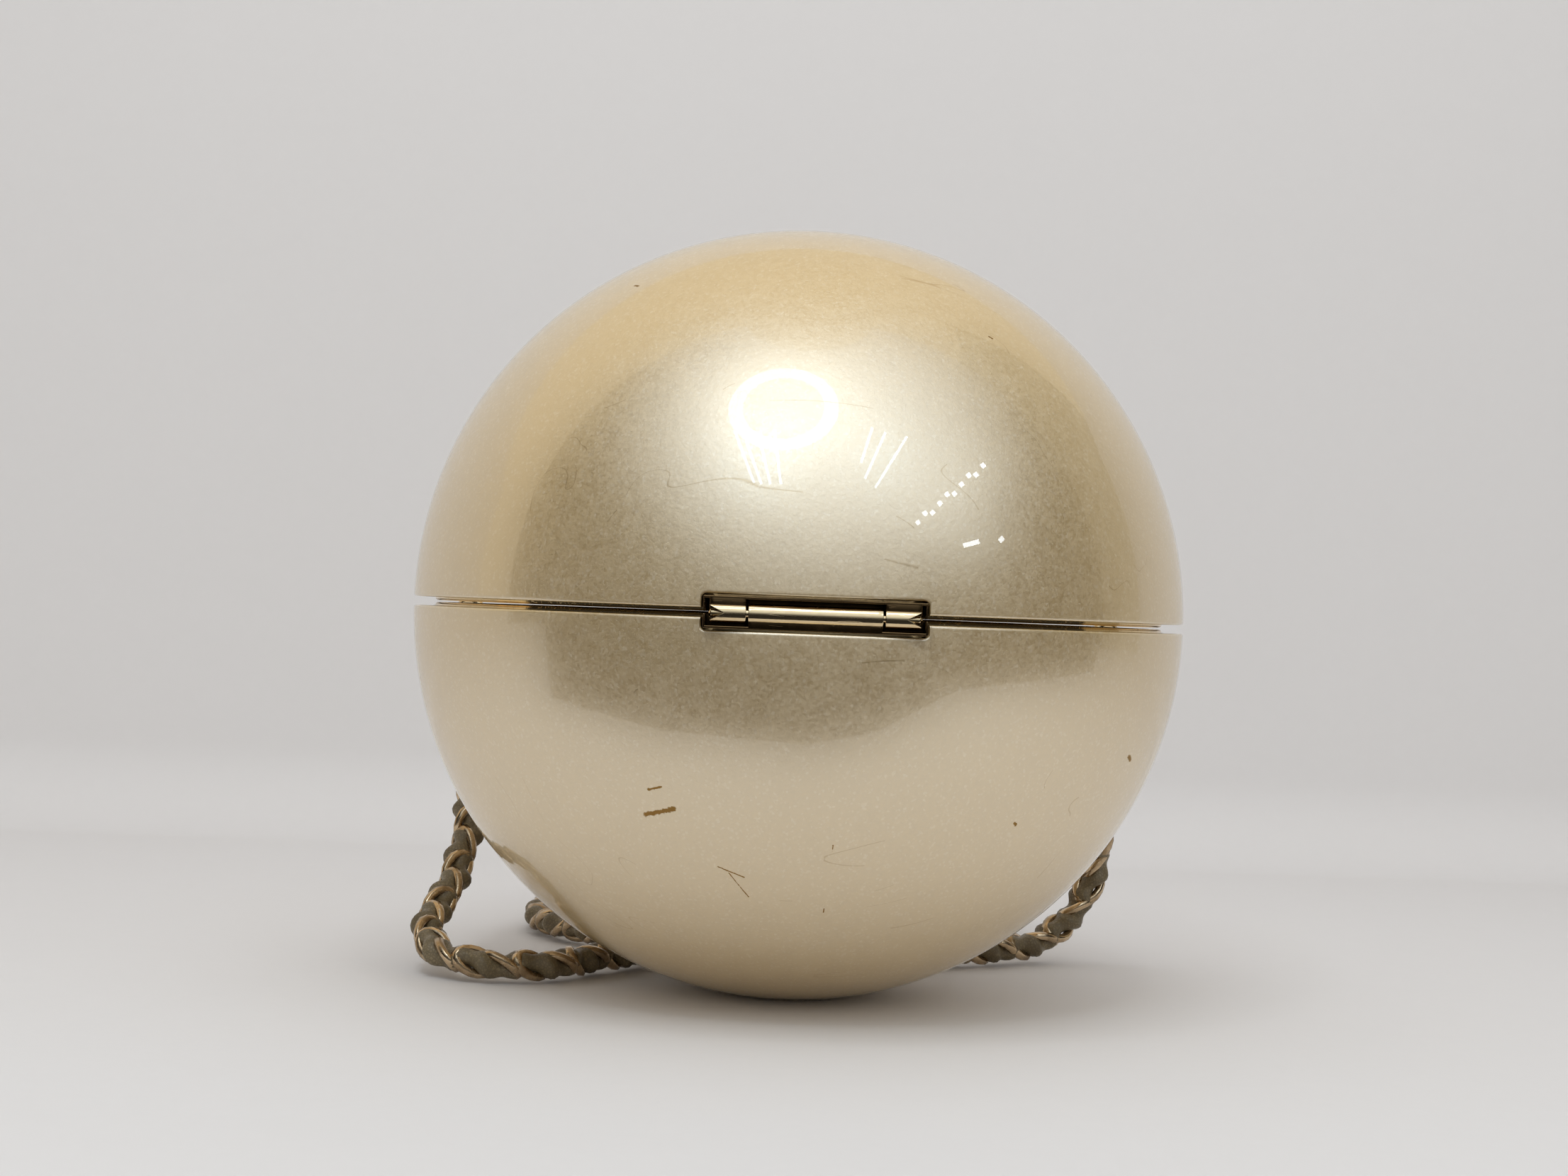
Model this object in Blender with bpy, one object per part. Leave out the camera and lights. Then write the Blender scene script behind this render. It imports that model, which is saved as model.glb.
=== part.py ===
"""A ball-shaped hard evening case: two glossy resin half shells on metal rims, a three-knuckle hinge
sunk in the back, a push-button clasp at the front and a chain strap laced with leather.

Lengths are in millimetres and turned into metres by MM. Heights given as "above the seam" are measured
from the plane where the two halves meet, which goes through the ball's centre. +Z is up, the clasp
faces +Y and the hinge -Y. The origin is the middle of the small flat that the ball stands on.
"""

import math

import bmesh
import bpy
import numpy as np
from mathutils import Matrix, Vector

MM = 0.001
GAP = 0.3  # between two pieces that touch on the real case

# The ball
BALL_R = 60.0
SHELL_WALL = 3.0
FOOT_R = 8.0  # radius of the flat under the ball
SEAM_Z = math.sqrt(BALL_R**2 - FOOT_R**2)  # height of the seam over the floor
SHELL_EDGE = 0.65  # each shell stops this far from the seam
SHELL_BEVEL = 0.35
SEGMENTS = 48
SHELL_IN_R = BALL_R - SHELL_WALL

# The rims
RIM_OUT_R = SHELL_IN_R - GAP
RIM_IN_R = RIM_OUT_R - 2.0
RIM_EDGE = GAP / 2
RIM_DEEP = 9.15
RIM_CHAMFER = 0.25
FRONT_CUT = (50.0, 60.0)  # y range of the cuts through the rims at the clasp
BACK_CUT = (-60.0, -50.0)  # and at the hinge

# The linings
LINING_OUT_R = RIM_OUT_R - 0.2
LINING_IN_R = LINING_OUT_R - 0.8
LINING_EDGE = RIM_DEEP + GAP
LINING_SEGMENTS = 36

# The hinge
HINGE_Y = -58.4
KNUCKLE_R = 1.38
BORE_R = 0.70
PIN_R = 0.62
PIN_END = 14.45
RECESS_HALF_W = 15.5
RECESS_UP = 2.6
RECESS_DOWN = 2.4
RECESS_CORNER = 0.7
LEAF_HALF_W = RECESS_HALF_W - GAP
LEAF_FRONT_Y = -59.3
LEAF_SHEET = 0.35
LID_WALL_Y = HINGE_Y + 0.2  # the lid leaf's end walls start here, so that they clear the base leaf's
TAB_FROM = 0.5
CENTRE_KNUCKLE_HALF = 9.1
SIDE_KNUCKLE = (9.4, 14.3)
KNUCKLE_NOTCH = (1.9, 1.0)  # depth and half height of the V cut in each outer end
NOTCH_Y = -58.9
RIVET_R = 0.5
RIVET_HEAD_R = 1.1
UPPER_RIVET = (11.8, 1.4)
LOWER_RIVET = (5.0, -1.3)

# The clasp
CLASP_DROP = 6.6  # the button's axis is this far below the seam
PLATE_HALF_W = 9.0
PLATE_HALF_H = 4.6
PLATE_Y = (58.6, 59.5, 60.4)  # back face, edge of the front, crown of the front
BUTTON_R = 3.4
BUTTON_HOLE_R = 3.7
BUTTON_BACK_Y = 58.0
BUTTON_TOP_Y = 62.6
STEM_R = 1.3
STEM_BORE_R = 1.7
NECK_R = 0.7
NECK_Y = 49.3
STEM_END_Y = 45.9
HOUSING_HALF_W = 5.5
HOUSING_Y = (40.8, 52.9)
HOUSING_WALL = 1.2
HOUSING_TOP = -1.2
HOUSING_BOTTOM = -10.4
HOUSING_FLOOR = HOUSING_BOTTOM + HOUSING_WALL
FLANGE_HALF_W = 8.6
FLANGE_Z = (-9.2, -3.2)
SCREW_X = 7.1
SCREW_R = 0.6
SCREW_HOLE_R = 0.9
SCREW_HEAD_R = 1.15
SCREW_TIP_Y = 55.2
LATCH_Y = (46.9, 49.0)
LATCH_Z = (-8.7, -2.0)
LATCH_HALF_W = 2.4
LATCH_NOSE_Y = 49.7
NOSE_Z = (-3.2, -3.0, -2.6)  # foot, underside and top of the nose
NUT_R = 1.5
NUT_Y = (46.1, 46.6)
TONGUE_Y = (50.0, 51.2)
TONGUE_HALF_W = 2.9
TONGUE_FOOT = -4.4
WINDOW_HALF_W = 1.7
WINDOW_Z = (-3.5, -1.6)
CATCH_HALF_W = 5.2
CATCH_BACK_Y = 53.2
CATCH_Z = (1.6, 8.0)
CATCH_SCREW = (3.6, 5.2)
SPRING_Y = (42.4, 46.6)
SPRING_R = 2.0
SPRING_WIRE_R = 0.22
SPRING_TURNS = 5

# The strap's fittings
LUG_ANGLE = math.radians(56)  # from +Y, towards each side
LUG_Z = -2.1
LUG_THICK = 1.6
LUG_NECK = 4.0
EYE_AT_R = 63.4
EYE_R = 3.2
EYE_HOLE_R = 1.6
RING_AT_R = 66.0
RING_Z = -3.3
RING_R = 3.4
RING_WIRE_R = 0.7

# The strap, as points (x, y, z) over the floor along its middle
STRAP_D = 5.6
STRAP_R = STRAP_D / 2
STRAP_SPACING = 11.5
COIL_X, COIL_Y = 4.0, 100.0
COIL_MEAN_R = 31.0
LEFT_ROUTE = [
    (-54.7, 36.9, 51.7),
    (-54.7, 36.9, 45.0),
    (-54.4, 36.4, 37.0),
    (-53.6, 34.8, 29.0),
    (-53.2, 32.0, 22.0),
    (-53.95, 27.8, 16.4),
    (-55.05, 22.15, 12.0),
    (-56.85, 16.0, 8.5),
    (-57.0, 9.35, 5.95),
    (-54.75, 3.85, 4.25),
    (-50.55, 0.5, 3.4),
    (-45.45, -0.8, 3.0),
    (-40.1, 0.15, 2.85),
    (-35.2, 3.7, 2.85),
    (-32.05, 8.9, 2.85),
    (-28.7, 13.9, 2.85),
    (-24.75, 18.6, 2.85),
    (-22.4, 24.6, 2.85),
    (-22.8, 31.4, 2.85),
    (-26.2, 37.6, 2.85),
    (-31.2, 43.2, 2.85),
    (-36.4, 49.0, 2.85),
    (-40.6, 56.0, 2.85),
    (-42.6, 64.6, 2.85),
    (-41.8, 76.0, 2.85),
    (-38.2, 88.0, 2.85),
]
RIGHT_ROUTE = [
    (54.7, 36.9, 51.7),
    (54.7, 37.1, 45.0),
    (54.9, 38.2, 37.0),
    (55.4, 40.4, 29.0),
    (55.9, 43.45, 21.85),
    (55.55, 46.1, 15.4),
    (53.2, 46.65, 9.95),
    (49.6, 45.4, 5.9),
    (44.6, 42.3, 3.45),
    (39.2, 38.6, 3.0),
    (33.3, 35.05, 2.85),
    (26.4, 33.2, 2.85),
    (19.6, 35.0, 2.85),
    (14.9, 40.05, 2.85),
    (13.5, 46.8, 2.85),
    (16.0, 53.55, 2.85),
    (21.7, 58.55, 2.85),
    (28.0, 63.4, 2.85),
    (33.8, 69.4, 2.95),
    (38.4, 76.4, 3.4),
    (41.6, 84.0, 4.3),
    (43.6, 92.0, 5.6),
]

PEARL = ("pearl_resin", (0.80, 0.74, 0.62), 0.12, 0.0)
GOLD = ("pale_gold", (0.80, 0.66, 0.42), 0.22, 1.0)
STEEL = ("spring_steel", (0.62, 0.62, 0.63), 0.30, 1.0)
LINING = ("lining_leather", (0.52, 0.44, 0.34), 0.75, 0.0)
STRAP = ("strap_leather", (0.36, 0.32, 0.25), 0.60, 0.0)


# ---------------------------------------------------------------- scene and objects


def clear_scene():
    for obj in list(bpy.data.objects):
        bpy.data.objects.remove(obj, do_unlink=True)


def finish(spec):
    """The Principled material of a spec (name, colour, roughness, metallic)."""
    name, colour, roughness, metallic = spec
    found = bpy.data.materials.get(name)
    if found:
        return found
    made = bpy.data.materials.new(name)
    made.use_nodes = True
    shader = made.node_tree.nodes["Principled BSDF"]
    shader.inputs["Base Color"].default_value = (*colour, 1.0)
    shader.inputs["Roughness"].default_value = roughness
    shader.inputs["Metallic"].default_value = metallic
    return made


def empty(name, at):
    """An empty on a joint's axis, at a point given in millimetres over the floor."""
    obj = bpy.data.objects.new(name, None)
    obj.empty_display_size = 0.01
    obj.location = Vector(at) * MM
    bpy.context.scene.collection.objects.link(obj)
    bpy.context.view_layer.update()
    return obj


def place(name, mesh, spec, at=(0, 0, SEAM_Z), turn=None, parent=None):
    """An object of a mesh in millimetres, put at a point and turned by a matrix."""
    mesh.transform(Matrix.Scale(MM, 4))
    obj = bpy.data.objects.new(name, mesh)
    obj.matrix_world = Matrix.Translation(Vector(at) * MM) @ (turn or Matrix.Identity(4))
    if spec:
        mesh.materials.append(finish(spec))
    bpy.context.scene.collection.objects.link(obj)
    if parent:
        obj.parent = parent
        obj.matrix_parent_inverse = parent.matrix_world.inverted()
    mesh.shade_smooth()
    mesh.set_sharp_from_angle(angle=math.radians(30))
    return obj


def cutter(name, mesh, at=(0, 0, SEAM_Z), turn=None, parent=None):
    obj = place(name, mesh, None, at, turn, parent)
    obj.hide_render = True
    obj.display_type = "WIRE"
    return obj


def combine(obj, other, operation):
    """Adds a live Boolean of other to obj."""
    step = obj.modifiers.new(other.name, "BOOLEAN")
    step.operation = operation
    step.solver = "EXACT"
    step.object = other
    return obj


# ---------------------------------------------------------------- shapes, in millimetres


def mesh_of(bm, name="shape"):
    bmesh.ops.recalc_face_normals(bm, faces=bm.faces)
    mesh = bpy.data.meshes.new(name)
    bm.to_mesh(mesh)
    bm.free()
    return mesh


def turned(profile, segments):
    """A closed profile of (radius, height) turned about Z. A point on the axis becomes a pole."""
    bm = bmesh.new()
    rings = []
    for radius, height in profile:
        if radius < 1e-9:
            rings.append([bm.verts.new((0, 0, height))] * segments)
            continue
        turns = (2 * math.pi * k / segments for k in range(segments))
        rings.append([bm.verts.new((radius * math.cos(a), radius * math.sin(a), height)) for a in turns])
    for ring, following in zip(rings, rings[1:] + rings[:1]):
        for k in range(segments):
            after = (k + 1) % segments
            corners = [ring[k], ring[after], following[after], following[k]]
            unique = list(dict.fromkeys(corners))
            if len(unique) > 2:
                bm.faces.new(unique)
    return mesh_of(bm)


def lofted(rings):
    """A closed loop of rings, each a list of points, joined one to the next and the last to the first."""
    bm = bmesh.new()
    rows = [[bm.verts.new(p) for p in ring] for ring in rings]
    for row, following in zip(rows, rows[1:] + rows[:1]):
        for k in range(len(row)):
            after = (k + 1) % len(row)
            bm.faces.new([row[k], row[after], following[after], following[k]])
    return mesh_of(bm)


def prism(outline, low, high, along="Z"):
    """A flat outline extruded from low to high along an axis. Along X the outline is (y, z), along Y
    it is (x, z) and along Z it is (x, y)."""
    corner = {
        "X": lambda u, v, w: (w, u, v),
        "Y": lambda u, v, w: (u, w, v),
        "Z": lambda u, v, w: (u, v, w),
    }[along]
    bm = bmesh.new()
    start = [bm.verts.new(corner(u, v, low)) for u, v in outline]
    end = [bm.verts.new(corner(u, v, high)) for u, v in outline]
    bm.faces.new(start)
    bm.faces.new(end[::-1])
    for k in range(len(outline)):
        after = (k + 1) % len(outline)
        bm.faces.new([start[k], end[k], end[after], start[after]])
    return mesh_of(bm)


def block(x, y, z):
    """A box from three (low, high) pairs."""
    return prism([(x[0], y[0]), (x[1], y[0]), (x[1], y[1]), (x[0], y[1])], z[0], z[1])


def circle(radius, count, at=(0.0, 0.0), squash=1.0):
    turns = (2 * math.pi * k / count for k in range(count))
    return [(at[0] + radius * math.cos(a), at[1] + squash * radius * math.sin(a)) for a in turns]


def rounded_box(half_w, low, high, corner, steps=4):
    """An outline with its four corners rounded."""
    centres = [
        (half_w - corner, high - corner, 0),
        (corner - half_w, high - corner, 1),
        (corner - half_w, low + corner, 2),
        (half_w - corner, low + corner, 3),
    ]
    return [
        (
            x + corner * math.cos(math.pi / 2 * (quarter + k / steps)),
            y + corner * math.sin(math.pi / 2 * (quarter + k / steps)),
        )
        for x, y, quarter in centres
        for k in range(steps + 1)
    ]


def arc_at(radius, low_deg, high_deg, steps):
    """(radius from the axis, height) of points on a sphere, between two latitudes."""
    angles = [math.radians(low_deg + (high_deg - low_deg) * k / steps) for k in range(steps + 1)]
    return [(radius * math.cos(a), radius * math.sin(a)) for a in angles]


def latitude(radius, height):
    return math.degrees(math.asin(height / radius))


def smooth_route(route, spacing):
    """Evenly spaced points on the natural cubic spline through a route's points."""
    points = np.array(route, float)
    along = np.concatenate([[0], np.cumsum(np.linalg.norm(np.diff(points, axis=0), axis=1))])
    step = np.diff(along)
    count = len(points)
    matrix = np.eye(count)
    right = np.zeros((count, 3))
    for k in range(1, count - 1):
        matrix[k, k - 1 : k + 2] = step[k - 1], 2 * (step[k - 1] + step[k]), step[k]
        rise, fall = points[k + 1] - points[k], points[k] - points[k - 1]
        right[k] = 6 * (rise / step[k] - fall / step[k - 1])
    bend = np.linalg.solve(matrix, right)
    wanted = np.linspace(0, along[-1], round(along[-1] / spacing) + 1)
    index = np.clip(np.searchsorted(along, wanted, side="right") - 1, 0, count - 2)
    width = step[index][:, None]
    near = (along[index + 1] - wanted)[:, None] / width
    far = 1 - near
    curve = (near**3 - near) * bend[index] + (far**3 - far) * bend[index + 1]
    return near * points[index] + far * points[index + 1] + curve * width**2 / 6


def tube(name, points, radius, spec, resolution, parent=None):
    """A round tube along points in millimetres over the floor."""
    data = bpy.data.curves.new(name, "CURVE")
    data.dimensions = "3D"
    data.bevel_depth = radius * MM
    data.bevel_resolution = resolution
    data.use_fill_caps = True
    line = data.splines.new("POLY")
    line.points.add(len(points) - 1)
    for point, at in zip(line.points, points):
        point.co = (*(Vector(at) * MM), 1.0)
    data.materials.append(finish(spec))
    obj = bpy.data.objects.new(name, data)
    bpy.context.scene.collection.objects.link(obj)
    if parent:
        obj.parent = parent
        obj.matrix_parent_inverse = parent.matrix_world.inverted()
    return obj


# ---------------------------------------------------------------- the two halves


def shell_profile(side, pole):
    """Half a shell's profile: the outer side from its bevel to the pole, and the inner side back."""
    bevel_z = SHELL_EDGE + SHELL_BEVEL
    last = math.degrees(math.acos(FOOT_R / BALL_R)) if side < 0 else 90.0
    outer = arc_at(BALL_R, latitude(BALL_R, bevel_z), last, 10)
    if side > 0:
        outer[-1] = (0.0, BALL_R)
    else:
        outer.append((0.0, pole))
    inner = arc_at(SHELL_IN_R, latitude(SHELL_IN_R, SHELL_EDGE), 90.0, 9)
    inner[-1] = (0.0, SHELL_IN_R)
    edge = (BALL_R - SHELL_BEVEL, SHELL_EDGE)
    return [(r, side * z) for r, z in [edge, *outer, *inner[::-1]]]


def rim_profile(side):
    """A rim's profile: a band that follows the shell's inner side, with its seam edges chamfered."""
    top, low = RIM_EDGE, RIM_DEEP
    outer = arc_at(RIM_OUT_R, latitude(RIM_OUT_R, top + RIM_CHAMFER), latitude(RIM_OUT_R, low), 2)
    inner = arc_at(RIM_IN_R, latitude(RIM_IN_R, top + RIM_CHAMFER), latitude(RIM_IN_R, low), 2)
    edge = [(RIM_IN_R + RIM_CHAMFER, top), (RIM_OUT_R - RIM_CHAMFER, top)]
    return [(r, side * z) for r, z in [*edge, *outer, *inner[::-1]]]


def lining_profile(side):
    outer = arc_at(LINING_OUT_R, latitude(LINING_OUT_R, LINING_EDGE), 90.0, 6)
    inner = arc_at(LINING_IN_R, latitude(LINING_IN_R, LINING_EDGE), 90.0, 6)
    outer[-1], inner[-1] = (0.0, LINING_OUT_R), (0.0, LINING_IN_R)
    return [(r, side * z) for r, z in [*outer, *inner[::-1]]]


def hinge_recess(name, parent):
    outline = rounded_box(RECESS_HALF_W, -RECESS_DOWN, RECESS_UP, RECESS_CORNER)
    return cutter(name, prism(outline, -BALL_R - 2, -BALL_R + 8, "Y"), parent=parent)


def hole(name, radius, at, y_pair, parent=None, count=16):
    """A cutter for a round hole along Y, about a point (x, z)."""
    return cutter(name, prism(circle(radius, count, at), *y_pair, along="Y"), parent=parent)


def pair_of_holes(obj, name, radius, at, y_pair, parent=None):
    """Cuts the same round hole on both sides of the middle, about (-x, z) and (x, z)."""
    for side in (-1, 1):
        x, z = at
        combine(obj, hole(f"{name}_{side}", radius, (side * x, z), y_pair, parent, 12), "DIFFERENCE")


def lower_half():
    shell = place("lower_shell", turned(shell_profile(-1, SEAM_Z), SEGMENTS), PEARL)
    combine(shell, hinge_recess("lower_recess_cut", None), "DIFFERENCE")
    squash = (PLATE_HALF_H + GAP) / (PLATE_HALF_W + GAP)
    pocket = circle(PLATE_HALF_W + GAP, 32, (0, -CLASP_DROP), squash)
    pocket_y = PLATE_Y[0] - GAP
    combine(shell, cutter("plate_pocket_cut", prism(pocket, pocket_y, BALL_R + 3, "Y")), "DIFFERENCE")
    outward = (50.0, BALL_R + 3)
    button_hole = hole("shell_button_cut", BUTTON_HOLE_R + GAP, (0, -CLASP_DROP), outward, count=24)
    combine(shell, button_hole, "DIFFERENCE")
    for side in (-1, 1):
        combine(shell, lug_notch(side), "DIFFERENCE")

    rim = place("lower_rim", turned(rim_profile(-1), SEGMENTS), GOLD)
    combine(rim, hole("rim_stem_cut", STEM_BORE_R, (0, -CLASP_DROP), FRONT_CUT), "DIFFERENCE")
    pair_of_holes(rim, "housing_screw_cut", SCREW_HOLE_R, (SCREW_X, -CLASP_DROP), FRONT_CUT)
    pair_of_holes(rim, "lower_rivet_cut", RIVET_R + GAP, LOWER_RIVET, BACK_CUT)
    place("lower_lining", turned(lining_profile(-1), LINING_SEGMENTS), LINING)


def upper_half(lid):
    shell = place("upper_shell", turned(shell_profile(1, BALL_R), SEGMENTS), PEARL, parent=lid)
    combine(shell, hinge_recess("upper_recess_cut", lid), "DIFFERENCE")
    rim = place("upper_rim", turned(rim_profile(1), SEGMENTS), GOLD, parent=lid)
    pair_of_holes(rim, "upper_rivet_cut", RIVET_R + GAP, UPPER_RIVET, BACK_CUT, lid)
    pair_of_holes(rim, "catch_screw_cut", SCREW_HOLE_R, CATCH_SCREW, FRONT_CUT, lid)
    place("upper_lining", turned(lining_profile(1), LINING_SEGMENTS), LINING, parent=lid)


# ---------------------------------------------------------------- the hinge


def back_arc(x_from, x_to, steps):
    """(x, y) along the face that a leaf lays on the rim, a gap away from it."""
    radius = RIM_OUT_R + GAP
    xs = [x_from + (x_to - x_from) * k / steps for k in range(steps + 1)]
    return [(x, -math.sqrt(radius**2 - x**2)) for x in xs]


def leaf_slab(x_from, x_to, z_pair, steps, front=LEAF_FRONT_Y):
    """Metal between the leaf's front and the rim, over part of its width."""
    outline = [(x_from, front), (x_to, front), *back_arc(x_to, x_from, steps)]
    return prism(outline, *z_pair)


def knuckle(x_from, x_to):
    return prism(circle(KNUCKLE_R, 24, (HINGE_Y, 0)), x_from, x_to, "X")


def hinge_leaf(name, side, depth, knuckles, wall_front, parent):
    """One leaf: a thin tray that lines its half of the recess, with a tab and a barrel at each knuckle."""
    def span(low, high):
        return (low, high) if side > 0 else (-high, -low)

    sheet = leaf_slab(-LEAF_HALF_W, LEAF_HALF_W, span(depth - LEAF_SHEET, depth), 12)
    leaf = place(name, sheet, GOLD, parent=parent)
    for end in (-1, 1):
        inner, outer = sorted((end * (LEAF_HALF_W - LEAF_SHEET), end * LEAF_HALF_W))
        wall = leaf_slab(inner, outer, span(RIM_EDGE, depth - LEAF_SHEET / 2), 1, wall_front)
        combine(leaf, cutter(f"{name}_wall_{end}", wall, parent=parent), "UNION")
    for k, (low, high) in enumerate(knuckles):
        tab = leaf_slab(low, high, span(TAB_FROM, depth - LEAF_SHEET / 2), 3)
        combine(leaf, cutter(f"{name}_tab_{k}", tab, parent=parent), "UNION")
        combine(leaf, cutter(f"{name}_barrel_{k}", knuckle(low, high), parent=parent), "UNION")
    bore = prism(circle(BORE_R, 20, (HINGE_Y, 0)), -20.0, 20.0, "X")
    combine(leaf, cutter(f"{name}_bore_cut", bore, parent=parent), "DIFFERENCE")
    return leaf


def notch_knuckle(leaf, end, parent):
    """Cuts the V into the outer end of a side knuckle, through its wall and down to the pin."""
    deep, half = KNUCKLE_NOTCH
    outside = SIDE_KNUCKLE[1] + 0.5
    half_outside = half * (deep + 0.5) / deep
    corners = [(outside, half_outside), (outside, -half_outside), (SIDE_KNUCKLE[1] - deep, 0.0)]
    wedge = prism([(end * x, z) for x, z in corners], HINGE_Y - KNUCKLE_R - 1, NOTCH_Y, "Y")
    combine(leaf, cutter(f"knuckle_notch_cut_{end}", wedge, parent=parent), "DIFFERENCE")


def rivet(name, x, z, parent=None):
    """A round-headed rivet from inside the rim to the back of a leaf's tab."""
    inside = math.sqrt(RIM_IN_R**2 - x**2)
    tip = math.sqrt((RIM_OUT_R + GAP) ** 2 - x**2) - GAP
    head_back = inside - 2 * GAP
    profile = [
        (0.0, tip),
        (RIVET_R, tip),
        (RIVET_R, head_back),
        (RIVET_HEAD_R, head_back),
        (RIVET_HEAD_R * 0.8, head_back - 0.45),
        (0.0, head_back - 0.65),
    ]
    turn = Matrix.Rotation(math.radians(90), 4, "X")
    place(name, turned(profile, 12), GOLD, (x, 0, SEAM_Z + z), turn, parent)


def hinge(lid):
    low, high = SIDE_KNUCKLE
    centre = [(-CENTRE_KNUCKLE_HALF, CENTRE_KNUCKLE_HALF)]
    sides = [(-high, -low), (low, high)]
    hinge_leaf("lower_hinge_leaf", -1, RECESS_DOWN - GAP, centre, LEAF_FRONT_Y, None)
    upper = hinge_leaf("upper_hinge_leaf", 1, RECESS_UP - GAP, sides, LID_WALL_Y, lid)
    for end in (-1, 1):
        notch_knuckle(upper, end, lid)
    tip = PIN_END - 0.35
    profile = [
        (0.0, -PIN_END),
        (PIN_R * 0.6, -PIN_END),
        (PIN_R, -tip),
        (PIN_R, tip),
        (PIN_R * 0.6, PIN_END),
        (0.0, PIN_END),
    ]
    along_x = Matrix.Rotation(math.radians(90), 4, "Y")
    place("hinge_pin", turned(profile, 20), GOLD, (0, HINGE_Y, SEAM_Z), along_x)
    for name, side in (("left", -1), ("right", 1)):
        rivet(f"lower_hinge_rivet_{name}", side * LOWER_RIVET[0], LOWER_RIVET[1])
        rivet(f"upper_hinge_rivet_{name}", side * UPPER_RIVET[0], UPPER_RIVET[1], lid)


# ---------------------------------------------------------------- the clasp


def turned_along_y(name, profile, at, spec, segments, parent=None):
    """A profile of (radius, y) turned about a line along Y."""
    turn = Matrix.Rotation(math.radians(-90), 4, "X")
    return place(name, turned(profile, segments), spec, at, turn, parent)


def clasp_plate():
    """The oval plate on the shell: rings that go from the button's round hole to an ellipse."""
    count = 32
    back, edge, crown = PLATE_Y

    def ring(share, y):
        points = []
        for k in range(count):
            a = 2 * math.pi * k / count
            x = BUTTON_HOLE_R + (PLATE_HALF_W - BUTTON_HOLE_R) * share
            z = BUTTON_HOLE_R + (PLATE_HALF_H - BUTTON_HOLE_R) * share
            points.append((x * math.cos(a), y, z * math.sin(a)))
        return points

    face = [ring(0, crown), ring(0.45, crown - 0.15), ring(0.94, edge), ring(1, edge - 0.3)]
    rings = [ring(0, back), *face, ring(1, back)]
    place("clasp_plate", lofted(rings), GOLD, (0, 0, SEAM_Z - CLASP_DROP))


def clasp_housing():
    """The open-topped box behind the rim that holds the latch and its spring."""
    back, front = HOUSING_Y
    half, wall = HOUSING_HALF_W, HOUSING_WALL
    outside = block((-half, half), (back, front), (HOUSING_BOTTOM, HOUSING_TOP))
    box = place("clasp_housing", outside, GOLD)
    flange = block((-FLANGE_HALF_W, FLANGE_HALF_W), (front - wall, front), FLANGE_Z)
    combine(box, cutter("housing_flange", flange), "UNION")
    hollow = block((wall - half, half - wall), (back + wall, front - wall), (HOUSING_FLOOR, 5.0))
    combine(box, cutter("housing_hollow_cut", hollow), "DIFFERENCE")
    through = (front - 2 * wall, front + 2)
    combine(box, hole("housing_bore_cut", STEM_BORE_R, (0, -CLASP_DROP), through), "DIFFERENCE")
    pair_of_holes(box, "flange_screw_cut", SCREW_HOLE_R, (SCREW_X, -CLASP_DROP), through)


def clasp_button(button):
    """The round button with its stem, turned in one piece."""
    at = (0, 0, SEAM_Z - CLASP_DROP)
    dome = [
        (BUTTON_R * math.cos(a), BUTTON_TOP_Y - 1.6 + 1.6 * math.sin(a))
        for a in (math.radians(15 * k) for k in range(6))
    ]
    profile = [
        (0.0, STEM_END_Y),
        (NECK_R, STEM_END_Y),
        (NECK_R, NECK_Y),
        (STEM_R, NECK_Y),
        (STEM_R, BUTTON_BACK_Y),
        (BUTTON_R, BUTTON_BACK_Y),
        *dome,
        (0.0, BUTTON_TOP_Y),
    ]
    turned_along_y("clasp_button", profile, at, GOLD, 24, button)
    inside, (back, front) = NECK_R + GAP, NUT_Y
    nut = [(inside, back), (NUT_R, back), (NUT_R, front), (inside, front)]
    turned_along_y("latch_nut", nut, at, GOLD, 16, button)


def clasp_latch(button):
    """The latch on the stem's neck, with a nose that reaches towards the tongue's window."""
    back, front = LATCH_Y
    low, high = LATCH_Z
    foot, under, over = NOSE_Z
    outline = [
        (back, low),
        (front, low),
        (front, foot),
        (LATCH_NOSE_Y, under),
        (LATCH_NOSE_Y, over),
        (front, high),
        (back, high),
    ]
    solid = prism(outline, -LATCH_HALF_W, LATCH_HALF_W, "X")
    latch = place("clasp_latch", solid, STEEL, parent=button)
    bore = hole("latch_bore_cut", NECK_R + GAP, (0, -CLASP_DROP), (back - 1, front + 1), button)
    combine(latch, bore, "DIFFERENCE")


def clasp_spring():
    """The coil that pushes the button back out, between the housing's back wall and the latch."""
    count = SPRING_TURNS * 12
    start, end = SPRING_Y
    points = []
    for k in range(count + 1):
        a = 2 * math.pi * SPRING_TURNS * k / count
        y = start + (end - start) * k / count
        points.append((SPRING_R * math.cos(a), y, SEAM_Z - CLASP_DROP + SPRING_R * math.sin(a)))
    tube("clasp_spring", points, SPRING_WIRE_R, STEEL, 1)


def lid_catch(lid):
    """The tongue that hangs from the lid's rim, with the window that the latch holds."""
    back, front = TONGUE_Y
    pad = block((-CATCH_HALF_W, CATCH_HALF_W), (back, CATCH_BACK_Y), CATCH_Z)
    catch = place("lid_catch", pad, STEEL, parent=lid)
    tongue = block((-TONGUE_HALF_W, TONGUE_HALF_W), (back + 0.01, front), (TONGUE_FOOT, CATCH_Z[0] + 1))
    combine(catch, cutter("catch_tongue", tongue, parent=lid), "UNION")
    window = block((-WINDOW_HALF_W, WINDOW_HALF_W), (back - 1, front + 1), WINDOW_Z)
    combine(catch, cutter("catch_window_cut", window, parent=lid), "DIFFERENCE")
    pair_of_holes(catch, "catch_hole_cut", SCREW_HOLE_R, CATCH_SCREW, (48.0, 56.0), lid)


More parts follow.
